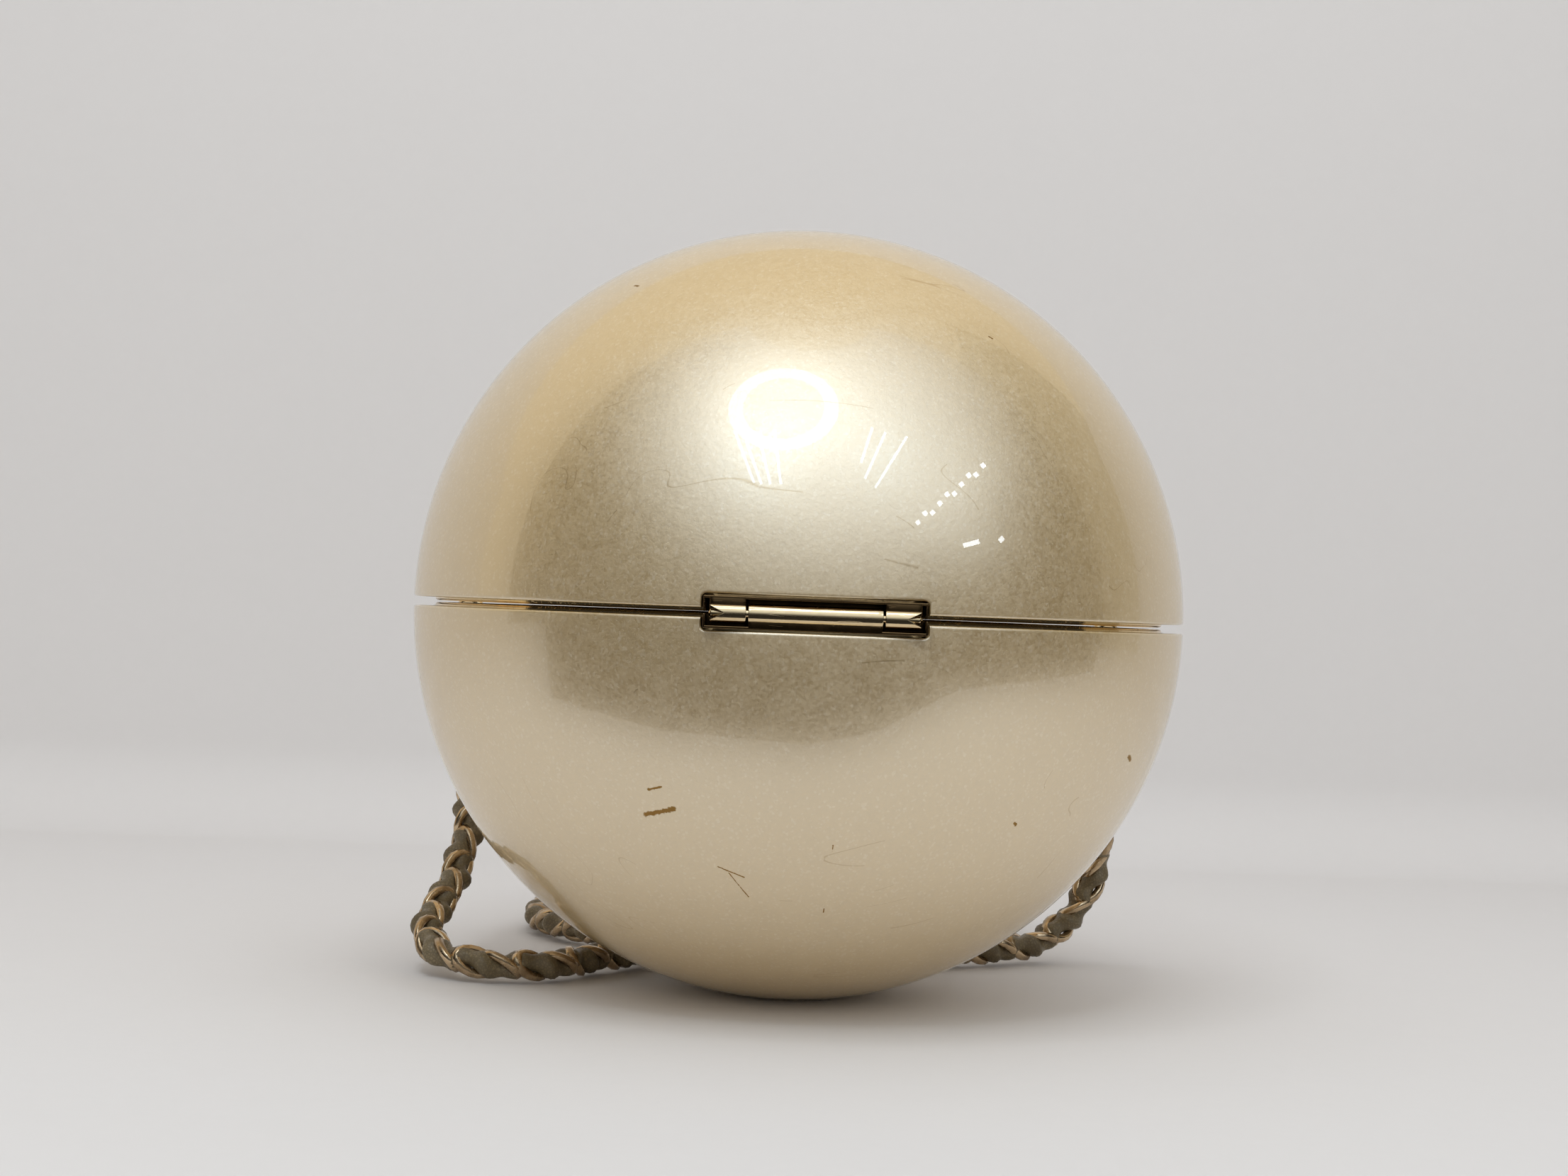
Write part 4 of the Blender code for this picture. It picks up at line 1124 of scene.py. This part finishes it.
@dataclass
class HalfLining:
    """The leather bowl glued inside a half, with a turned edge."""

    side: Side
    centre: Vector
    outer: float = 56.5 * MM
    inner: float = 55.7 * MM
    edge: float = 9.45 * MM

    def build(self, leather: bpy.types.Material) -> None:
        """Turns the bowl's closed wall about the upright line, from pole to pole."""
        start_out, start_in = math.asin(self.edge / self.outer), math.asin(self.edge / self.inner)
        latitude = np.linspace(np.pi / 2, start_out, 60)
        outside = np.stack([self.outer * np.cos(latitude), self.outer * np.sin(latitude)], -1)
        latitude = np.linspace(start_in, np.pi / 2, 60)
        inside = np.stack([self.inner * np.cos(latitude), self.inner * np.sin(latitude)], -1)
        turn = np.linspace(-np.pi / 2, np.pi / 2, 7)[1:-1]
        middle, half = (self.outer + self.inner) / 2, (self.outer - self.inner) / 2
        radius = middle * math.cos(start_out)
        hem = np.stack([radius - half * np.sin(turn), self.edge - 0.6 * half * np.cos(turn)], -1)
        profile = np.concatenate([outside, hem, inside])
        profile[:, 1] *= self.side.value
        profile[[0, -1], 0] = 0.0
        points = turned(profile, 180, tuple(self.centre))
        grid = Grid(points, first_pole=True, last_pole=True, flipped=self.side is Side.LID)
        name, body = ("lining_upper", "lid") if self.side is Side.LID else ("lining_lower", "base")
        obj = piece(name, body, Finish.LINING, [grid], leather)
        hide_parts("upper_lining" if self.side is Side.LID else "lower_lining")


# ---------------------------------------------------------------- the hinge


@dataclass
class Hinge:
    """Two leaves shaped as trays, their knuckles and the pin, sunk in the back of the ball."""

    centre: Vector
    axis_y: float = -58.4 * MM
    knuckle: float = 1.38 * MM
    bore: float = 0.70 * MM
    pin: float = 0.62 * MM
    pin_end: float = 14.45 * MM
    half_width: float = 15.2 * MM
    front: float = -59.3 * MM
    rim: float = 57.0 * MM
    sheet: float = 0.35 * MM
    centre_knuckle: float = 9.1 * MM
    side_knuckle: tuple[float, float] = (9.4 * MM, 14.3 * MM)
    notch: tuple[float, float] = (1.9 * MM, 1.0 * MM)
    round_over: float = 0.10 * MM
    painted_shadow_sheet: float = -57.3 * MM

    def barrel(self, low: float, high: float, notch_low: bool, notch_high: bool) -> Grid:
        """A knuckle: a thick tube along X with rounded ends and, where asked, a V cut in an end.

        The V moves an end ring inwards by deep * max(0, 1 - |z| / half) on the side towards the
        outside of the ball, with z the height over the pin.
        """
        turns = np.linspace(0, 2 * np.pi, 72, endpoint=False)
        edge = self.round_over
        corner = np.linspace(0, np.pi / 2, 5)
        start_x = np.append(edge - edge * np.sin(corner), 0.0)
        start_radius = np.append(self.knuckle - edge * (1 - np.cos(corner)), self.bore)
        start = np.stack([start_x, start_radius], -1)
        length = high - low
        inner_start = start[::-1]
        body = np.stack([np.linspace(edge, length - edge, 26)[1:-1], np.full(24, self.knuckle)], -1)
        end = start * np.array([-1, 1]) + np.array([length, 0])
        bore = np.stack([np.linspace(length, 0, 26)[1:-1], np.full(24, self.bore)], -1)
        profile = np.concatenate([inner_start, body, end, bore])
        x, radius = profile[:, :1], profile[:, 1:]
        z = radius * np.sin(turns)
        y = -radius * np.cos(turns)
        deep, half = self.notch
        cut = deep * np.clip(1 - np.abs(z) / half, 0, 1) * (y < 0.2 * MM)
        along = x / length
        x = low + x + notch_low * cut * (1 - along) - notch_high * cut * along
        points = np.stack([x, y + self.axis_y, z], -1) + np.array([0, 0, self.centre.z])
        return Grid(points, wrap_rows=True)

    def slab(self, x: tuple[float, float], z: tuple[float, float], front: float, finish: int = 0) -> Grid:
        """Metal from a front face back to the rim, with softly rounded edges.

        Each ring goes round the slab's section at one x: front low, front high, back high, back low,
        where the back lies on the circle y = -sqrt(rim^2 - x^2).
        """
        soft = min(self.round_over, 0.3 * (z[1] - z[0]))
        xs = np.linspace(*x, max(3, round((x[1] - x[0]) / (0.6 * MM))))
        xs = np.sort(np.concatenate([xs, [x[0] + soft, x[1] - soft]]))
        inset = np.where((xs <= x[0]) | (xs >= x[1]), soft, 0.0)[:, None]
        back = -np.sqrt(self.rim**2 - xs**2)[:, None]
        corner = np.linspace(0, np.pi / 2, 4)[None, :]
        near, far = front + inset, back - inset
        low, high = z[0] + inset, z[1] - inset
        y_low, z_low = near + soft * (1 - np.cos(corner)), high - soft * (1 - np.sin(corner))
        ring_y = np.concatenate([y_low[:, ::1], far, far, y_low[:, ::-1]], axis=1)
        ring_z = np.concatenate([z_low, high, low, low + soft * (1 - np.sin(corner[:, ::-1]))], axis=1)
        ring_x = np.broadcast_to(xs[:, None], ring_y.shape)
        points = np.stack([ring_x, ring_y, ring_z + self.centre.z], -1)
        grid = capped(points)
        grid.flipped = True
        grid.finish_index = finish
        return grid

    def leaf(
        self, side: Side, depth: float, spans: list[tuple[float, float]], wall_front: float
    ) -> list[Grid]:
        """The tray of a leaf: its sheet, two end walls and a tab at each knuckle in gold darkened as painted
        shade, and near-black sheets between them as painted shadow at its back.
        """
        def span(low: float, high: float) -> tuple[float, float]:
            return (low, high) if side is Side.LID else (-high, -low)

        whole = (-self.half_width, self.half_width)
        # Finish 1, on the sheet, end walls and tabs, is the gold darkened as painted shade.
        grids = [self.slab(whole, span(depth - self.sheet, depth), self.front, 1)]
        for end in (-1, 1):
            xs = sorted((end * (self.half_width - self.sheet), end * self.half_width))
            grids.append(self.slab(tuple(xs), span(0.15 * MM, depth - 0.1 * MM), wall_front, 1))
        for low, high in spans:
            grids.append(self.slab((low, high), span(0.5 * MM, depth - 0.1 * MM), self.front, 1))
        # Near-black sheets between the tabs: painted shadow at the back of the recess.
        for low, high in self.gaps(spans):
            grids.append(self.slab((low, high), span(0.2 * MM, depth - 0.2 * MM), self.painted_shadow_sheet, 2))
        return grids

    def gaps(self, spans: list[tuple[float, float]]) -> list[tuple[float, float]]:
        """The stretches of a leaf between its tabs and its end walls, where a near-black sheet stands as
        painted shadow.
        """
        inside = self.half_width - self.sheet
        ends = [-inside, *(x for span in spans for x in span), inside]
        return [(low, high) for low, high in zip(ends[::2], ends[1::2]) if high - low > 1.0 * MM]

    def build(self, gold: bpy.types.Material, wear_and_painted_shade: bpy.types.Material, dark: bpy.types.Material) -> None:
        """Builds the leaves with their knuckles, and the pin."""
        low, high = self.side_knuckle
        base = self.leaf(Side.BASE, 2.1 * MM, [(-self.centre_knuckle, self.centre_knuckle)], self.front)
        base.append(self.barrel(-self.centre_knuckle, self.centre_knuckle, False, False))
        # Material 1 is the gold darkened as painted shade, material 2 the near-black painted shadow.
        obj = piece("hinge_leaf_base", "base", Finish.GOLD, base, gold, wear_and_painted_shade, dark)
        sharpen(obj, 50)
        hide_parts("lower_hinge_leaf")
        lid = self.leaf(Side.LID, 2.3 * MM, [(-high, -low), (low, high)], self.axis_y + 0.2 * MM)
        lid.append(self.barrel(-high, -low, True, False))
        lid.append(self.barrel(low, high, False, True))
        obj = piece("hinge_leaf_lid", "lid", Finish.GOLD, lid, gold, wear_and_painted_shade, dark)
        sharpen(obj, 50)
        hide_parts("upper_hinge_leaf")
        half = [
            (0.0, self.pin_end),
            (0.4 * self.pin, self.pin_end),
            (self.pin, self.pin_end - 0.3 * MM),
            (self.pin, 0.0),
        ]
        profile = rounded(half, 0.15 * MM)
        profile = np.concatenate([profile, profile[-2::-1] * np.array([1, -1])])
        made = turned(profile, 40, (0, 0, 0))
        x, y, z = np.moveaxis(made, -1, 0)
        points = np.stack([z, y, -x], -1) + np.array([0, self.axis_y, self.centre.z])
        grid = Grid(points, first_pole=True, last_pole=True, flipped=True)
        obj = piece("pin_of_hinge", "base", Finish.GOLD, [grid], gold)
        sharpen(obj, 40)
        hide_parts("hinge_pin")


# ---------------------------------------------------------------- the clasp


@dataclass
class Clasp:
    """The oval plate, the domed button at the front and the spring that returns it."""

    centre: Vector
    drop: float = 6.6 * MM
    half_width: float = 9.0 * MM
    half_height: float = 4.6 * MM
    plate_y: tuple[float, float, float] = (58.6 * MM, 59.5 * MM, 60.4 * MM)
    hole: float = 3.7 * MM
    button: float = 3.4 * MM
    button_y: tuple[float, float] = (58.3 * MM, 62.6 * MM)
    stem: float = 1.3 * MM
    neck: float = 0.7 * MM
    neck_y: float = 49.3 * MM
    stem_end: float = 45.9 * MM
    travel: float = 1.25 * MM
    spring_y: tuple[float, float] = (42.4 * MM, 46.6 * MM)
    spring_radius: float = 2.0 * MM
    spring_wire: float = 0.22 * MM
    spring_turns: int = 5

    def plate(self, gold: bpy.types.Material) -> None:
        """Rings that pass from the round hole to the oval edge.

        A ring at share s has half axes hole + (half_width - hole) s and hole + (half_height - hole) s,
        and the profile of (share, y) gives the crowned face with its rolled lip round the hole.
        """
        back, edge, crown = self.plate_y
        corners = [
            (0.0, back),
            (0.0, crown - 0.05 * MM),
            (0.06, crown),
            (0.14, crown - 0.12 * MM),
            (0.45, crown - 0.2 * MM),
            (0.92, edge + 0.05 * MM),
            (1.0, edge - 0.25 * MM),
            (1.0, back),
        ]
        scale = np.array([self.half_width, 1.0])
        profile = rounded([tuple(np.array(c) * scale) for c in corners], 0.25 * MM, 5) / scale
        angle = np.linspace(0, 2 * np.pi, 160, endpoint=False)
        share = profile[:, :1]
        x = (self.hole + (self.half_width - self.hole) * share) * np.cos(angle)
        z = (self.hole + (self.half_height - self.hole) * share) * np.sin(angle)
        y = np.broadcast_to(profile[:, 1:], x.shape)
        points = np.stack([x, y, z + self.centre.z - self.drop], -1)
        obj = piece("plate_of_clasp", "base", Finish.GOLD, [Grid(points, wrap_rows=True)], gold)
        sharpen(obj, 40)
        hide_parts("clasp_plate")

    def press(self, gold: bpy.types.Material) -> None:
        """The button: a dome with a rounded shoulder, its stem and its neck, turned in one piece."""
        back, top = self.button_y
        dome = np.linspace(0, np.pi / 2, 24)
        shoulder = 1.6 * MM
        head = np.stack([self.button * np.cos(dome) ** 0.8, top - shoulder + shoulder * np.sin(dome)], -1)
        head[-1, 0] = 0.0
        below = rounded([
            (0.0, self.stem_end),
            (self.neck, self.stem_end),
            (self.neck, self.neck_y),
            (self.stem, self.neck_y),
            (self.stem, back),
            (self.button, back),
            (self.button, top - shoulder),
        ], 0.12 * MM)
        profile = np.concatenate([below, head[1:]])
        points = about_y(turned(profile, 72, (0, 0, 0)), (0, 0, self.centre.z - self.drop))
        grid = Grid(points, first_pole=True, last_pole=True)
        obj = piece("button_of_clasp", "button", Finish.GOLD, [grid], gold)
        sharpen(obj, 40)
        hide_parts("clasp_button")

    def coil_spring(self, steel: bpy.types.Material) -> None:
        """The spring behind the latch, which the button's travel presses shorter.

        Its wire follows (r cos t, y0 + (y1 - y0) f, r sin t), with f easing in and out so that the
        end turns lie flat.
        """
        low, high = self.spring_y
        share = np.linspace(0, 1, 24 * self.spring_turns + 1)
        turn = 2 * np.pi * self.spring_turns * share
        rise = low + self.spring_wire + (high - low - 2 * self.spring_wire) * smoothstep(share, -0.1, 1.1)
        radius = self.spring_radius - self.spring_wire
        out = np.stack([np.cos(turn), np.zeros_like(turn), np.sin(turn)], -1)
        path = out * radius + np.stack([0 * rise, rise, 0 * rise], -1)
        path += np.array([0, 0, self.centre.z - self.drop])
        beside = np.broadcast_to(np.array([0.0, 1.0, 0.0]), out.shape)
        angle = np.linspace(0, 2 * np.pi, 10, endpoint=False)
        section = np.stack([np.cos(angle), np.sin(angle)], -1) * self.spring_wire
        obj = piece("coil_spring", "base", Finish.STEEL, [capped(swept(path, beside, out, section))], steel)
        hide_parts("clasp_spring")
        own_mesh(obj)

    def build(self, gold: bpy.types.Material, steel: bpy.types.Material) -> None:
        """Builds the plate, the button and its spring."""
        self.plate(gold)
        self.press(gold)
        self.coil_spring(steel)


# ---------------------------------------------------------------- the strap


LEFT_ROUTE = [
    (-54.7, 36.9, 51.7),
    (-54.7, 36.9, 45.0),
    (-54.4, 36.4, 37.0),
    (-53.6, 34.8, 29.0),
    (-53.2, 32.0, 22.0),
    (-53.95, 27.8, 16.4),
    (-55.05, 22.15, 12.0),
    (-56.85, 16.0, 8.5),
    (-57.0, 9.35, 5.95),
    (-54.75, 3.85, 4.25),
    (-50.55, 0.5, 3.4),
    (-45.45, -0.8, 3.0),
    (-40.1, 0.15, 2.85),
    (-35.2, 3.7, 2.85),
    (-32.05, 8.9, 2.85),
    (-28.7, 13.9, 2.85),
    (-24.75, 18.6, 2.85),
    (-22.4, 24.6, 2.85),
    (-22.8, 31.4, 2.85),
    (-26.2, 37.6, 2.85),
    (-31.2, 43.2, 2.85),
    (-36.4, 49.0, 2.85),
    (-40.6, 56.0, 2.85),
    (-42.6, 64.6, 2.85),
    (-41.8, 76.0, 2.85),
    (-38.2, 88.0, 2.85),
]
RIGHT_ROUTE = [
    (54.7, 36.9, 51.7),
    (54.7, 37.1, 45.0),
    (54.9, 38.2, 37.0),
    (55.4, 40.4, 29.0),
    (55.9, 43.45, 21.85),
    (55.55, 46.1, 15.4),
    (53.2, 46.65, 9.95),
    (49.6, 45.4, 5.9),
    (44.6, 42.3, 3.45),
    (39.2, 38.6, 3.0),
    (33.3, 35.05, 2.85),
    (26.4, 33.2, 2.85),
    (19.6, 35.0, 2.85),
    (14.9, 40.05, 2.85),
    (13.5, 46.8, 2.85),
    (16.0, 53.55, 2.85),
    (21.7, 58.55, 2.85),
    (28.0, 63.4, 2.85),
    (33.8, 69.4, 2.95),
    (38.4, 76.4, 3.4),
    (41.6, 84.0, 4.3),
    (43.6, 92.0, 5.6),
]


@dataclass
class Strap:
    """The curb chain with a leather lace woven through it, from one lug round to the other."""

    diameter: float = 5.6 * MM
    coil_centre: tuple[float, float] = (4.0 * MM, 100.0 * MM)
    pitch: float = 4.7 * MM
    link_wire: float = 0.78 * MM
    link_half: tuple[float, float] = (2.75 * MM, 1.95 * MM)
    link_tilt: float = 1.5 * MM
    lace: float = 1.95 * MM
    lace_swell: float = 0.42 * MM
    lace_drift: float = 0.34 * MM

    def coil(self) -> np.ndarray:
        """Twelve points a turn of the neat coil: two turns beside each other, then two on top.

        The radius and height at each angle come from the laps below: outer and inner lap on the
        floor, inner and outer lap above them, and a way out over the edge.
        """
        outer, inner = 33.8 * MM, 28.2 * MM
        low, high = 2.85 * MM, 8.45 * MM
        angles = [0, 300, 355, 630, 690, 950, 1005, 1215, 1245, 1268]
        radii = [outer, outer, inner, inner, inner, inner, outer, outer, 36.4 * MM, 39.6 * MM]
        heights = [low, low, low, low, high, high, high, high, 7.8 * MM, 6.6 * MM]
        degrees = np.arange(0, 1268, 25.0)
        radius, height = np.interp(degrees, angles, radii), np.interp(degrees, angles, heights)
        turn = np.radians(degrees)
        x = self.coil_centre[0] - radius * np.cos(turn)
        y = self.coil_centre[1] + radius * np.sin(turn)
        return np.stack([x, y, height], -1)

    def line(self, spacing: float) -> np.ndarray:
        """Evenly spaced points on the natural cubic spline through the whole route."""
        left, right = np.array(LEFT_ROUTE) * MM, np.array(RIGHT_ROUTE)[::-1] * MM
        points = np.concatenate([left, self.coil(), right])
        along = np.concatenate([[0], np.cumsum(np.linalg.norm(np.diff(points, axis=0), axis=1))])
        step = np.diff(along)
        count = len(points)
        matrix = np.eye(count)
        wanted = np.zeros((count, 3))
        inside = np.arange(1, count - 1)
        matrix[inside, inside - 1] = step[:-1]
        matrix[inside, inside] = 2 * (step[:-1] + step[1:])
        matrix[inside, inside + 1] = step[1:]
        slope = np.diff(points, axis=0) / step[:, None]
        wanted[1:-1] = 6 * np.diff(slope, axis=0)
        bend = np.linalg.solve(matrix, wanted)
        at = np.linspace(0, along[-1], round(along[-1] / (spacing / 4)) + 1)
        index = np.clip(np.searchsorted(along, at, side="right") - 1, 0, count - 2)
        width = step[index][:, None]
        near = (along[index + 1] - at)[:, None] / width
        far = 1 - near
        curve = (near**3 - near) * bend[index] + (far**3 - far) * bend[index + 1]
        fine = near * points[index] + far * points[index + 1] + curve * width**2 / 6
        length = np.concatenate([[0], np.cumsum(np.linalg.norm(np.diff(fine, axis=0), axis=1))])
        even = np.linspace(0, length[-1], round(length[-1] / spacing) + 1)
        return np.stack([np.interp(even, length, fine[:, k]) for k in range(3)], -1)

    def frames(self, path: np.ndarray) -> tuple[np.ndarray, np.ndarray, np.ndarray]:
        """Unit vectors along, beside and over the path, turned as little as possible along it."""
        along = np.gradient(path, axis=0)
        along /= np.linalg.norm(along, axis=1, keepdims=True)
        over = np.empty_like(along)
        vector = np.array([0.0, 1.0, 0.0])
        for k, direction in enumerate(along):
            vector = vector - direction * (vector @ direction)
            vector /= np.linalg.norm(vector)
            over[k] = vector
        return along, np.cross(over, along), over

    def lace_grid(self, path: np.ndarray, spacing: float) -> Grid:
        """The leather: an oval tube that swells between links and rocks from side to side.

        Its radius is lace + swell cos(2 pi s / pitch), and its long axis turns to and fro by a
        third of a right angle as it goes over one link and under the next.
        """
        _, side, over = self.frames(path)
        s = np.arange(len(path)) * spacing
        phase = 2 * np.pi * s / self.pitch
        radius = self.lace + self.lace_swell * np.cos(phase)
        tilt = 0.75 * np.sin(phase / 2)
        angle = np.linspace(0, 2 * np.pi, 14, endpoint=False)[None, :]
        x, y = 1.12 * np.cos(angle), 0.86 * np.sin(angle)
        c, t = np.cos(tilt)[:, None], np.sin(tilt)[:, None]
        section = np.stack([x * c - y * t, x * t + y * c], -1) * radius[:, None, None]
        drift = self.lace_drift * np.stack([np.cos(phase / 2), np.sin(phase / 2)], -1)[:, None, :]
        grid = capped(swept(path, side, over, section + drift))
        return grid

    def links(self, path: np.ndarray, spacing: float) -> list[Grid]:
        """Oval wire links, each leaning over the lace at one end and under it at the other.

        A link's middle line is (a cos t, b sin t, h cos t) in the path's own directions, turned
        about the path by 42 degrees one way and then the other.
        """
        along, side, over = self.frames(path)
        count = int((len(path) - 1) * spacing / self.pitch)
        index = np.round((np.arange(count) + 0.5) * self.pitch / spacing).astype(int)
        t = np.linspace(0, 2 * np.pi, 16, endpoint=False)[:, None]
        b = np.linspace(0, 2 * np.pi, 6, endpoint=False)[None, :]
        half_long, half_wide = self.link_half
        middle = np.stack([half_long * np.cos(t), half_wide * np.sin(t), self.link_tilt * np.cos(t)], -1)
        out = np.stack([np.cos(t) / half_long, np.sin(t) / half_wide, 0 * t], -1)
        out /= np.linalg.norm(out, axis=-1, keepdims=True)
        lean = np.array([-self.link_tilt, 0.0, half_long]) / math.hypot(self.link_tilt, half_long)
        local = middle + self.link_wire * (np.cos(b)[..., None] * out + np.sin(b)[..., None] * lean)
        grids = []
        for number, k in enumerate(index):
            roll = math.radians(42 if number % 2 else -42)
            c, s = math.cos(roll), math.sin(roll)
            beside, above = side[k] * c + over[k] * s, over[k] * c - side[k] * s
            turn = np.stack([along[k], beside, above])
            grids.append(Grid(local @ turn + path[k], wrap_rows=True, flipped=True, finish_index=1))
        return grids

    def build(self, lace: bpy.types.Material, metal: bpy.types.Material) -> None:
        spacing = 0.5 * MM
        path = self.line(spacing)
        grids = [self.lace_grid(path, spacing), *self.links(path, spacing)]
        obj = piece("laced_chain_strap", "base", Finish.STRAP, grids, lace, metal)
        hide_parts("chain_left_run", "chain_right_run", "chain_coil")


@dataclass
class StrapFittings:
    """The lugs in the shell's edge and the round rings that carry the strap."""

    centre: Vector
    bearing: float = math.radians(56)
    ring_at: float = 66.0 * MM
    ring_drop: float = 3.3 * MM
    ring: float = 3.4 * MM
    wire: float = 0.7 * MM

    def build(self, gold: bpy.types.Material) -> None:
        """A ring on each side, in the upright plane through its lug."""
        a = np.linspace(0, 2 * np.pi, 56, endpoint=False)[:, None]
        b = np.linspace(0, 2 * np.pi, 18, endpoint=False)[None, :]
        r = self.ring + self.wire * np.cos(b)
        local = np.stack([r * np.cos(a), self.wire * np.sin(b) + 0 * a, r * np.sin(a)], -1)
        for name, side in (("left", -1), ("right", 1)):
            angle = math.pi / 2 - side * self.bearing
            c, s = math.cos(angle), math.sin(angle)
            out = np.array([c, s, 0.0])
            beside = np.array([-s, c, 0.0])
            up = np.array([0.0, 0.0, 1.0])
            points = local @ np.stack([out, beside, up])
            points = points + out * self.ring_at + np.array(self.centre) - up * self.ring_drop
            grid = Grid(points, wrap_rows=True, flipped=True)
            obj = piece(f"strap_ring_{name}", "base", Finish.GOLD, [grid], gold)
            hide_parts(f"chain_ring_{name}")


# ---------------------------------------------------------------- small pieces kept from the frame


@dataclass
class SmallParts:
    """Fasteners and clasp works whose frame shape is right, so the nodes are kept and dressed."""

    gold: tuple[str, ...] = (
        "clasp_housing",
        "chain_lug_left",
        "chain_lug_right",
        "housing_screw_left",
        "housing_screw_right",
        "catch_screw_left",
        "catch_screw_right",
        "latch_nut",
        "lower_hinge_rivet_left",
        "lower_hinge_rivet_right",
        "upper_hinge_rivet_left",
        "upper_hinge_rivet_right",
    )
    steel: tuple[str, ...] = ("clasp_latch", "lid_catch")

    def build(self, gold: bpy.types.Material, steel: bpy.types.Material) -> None:
        """Gives each carried node its finish."""
        for names, material, finish in ((self.gold, gold, Finish.GOLD), (self.steel, steel, Finish.STEEL)):
            for name in names:
                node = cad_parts[name]
                node.data.materials.clear()
                node.data.materials.append(material)
                LOG.info("%s: dressed in %s", name, finish.value)


def main() -> None:
    """Builds the studio and every sub-assembly, in order."""
    logging.basicConfig(level=logging.INFO, format="%(message)s")
    for name in ("Cube", "Light", "Camera"):
        stray = bpy.data.objects.get(name)
        if stray:
            bpy.data.objects.remove(stray)
    ball_radius, foot_radius = 60.0 * MM, 8.0 * MM
    centre = Vector((0, 0, math.sqrt(ball_radius**2 - foot_radius**2)))
    studio = Studio(centre)
    studio.camera()
    wardrobe = Wardrobe(studio.marks(ball_radius))
    studio.build(wardrobe.paper)
    Strap().build(wardrobe.lace, wardrobe.chain)
    for side in Side:
        HalfShell(side, centre).build(wardrobe.pearl)
        HalfRim(side, centre).build(wardrobe.rim)
        HalfLining(side, centre).build(wardrobe.lining)
    Hinge(centre).build(wardrobe.gold, wardrobe.shade, wardrobe.dark)
    Clasp(centre).build(wardrobe.gold, wardrobe.steel)
    StrapFittings(centre).build(wardrobe.gold)
    SmallParts().build(wardrobe.gold, wardrobe.steel)


if __name__ == "__main__":
    main()
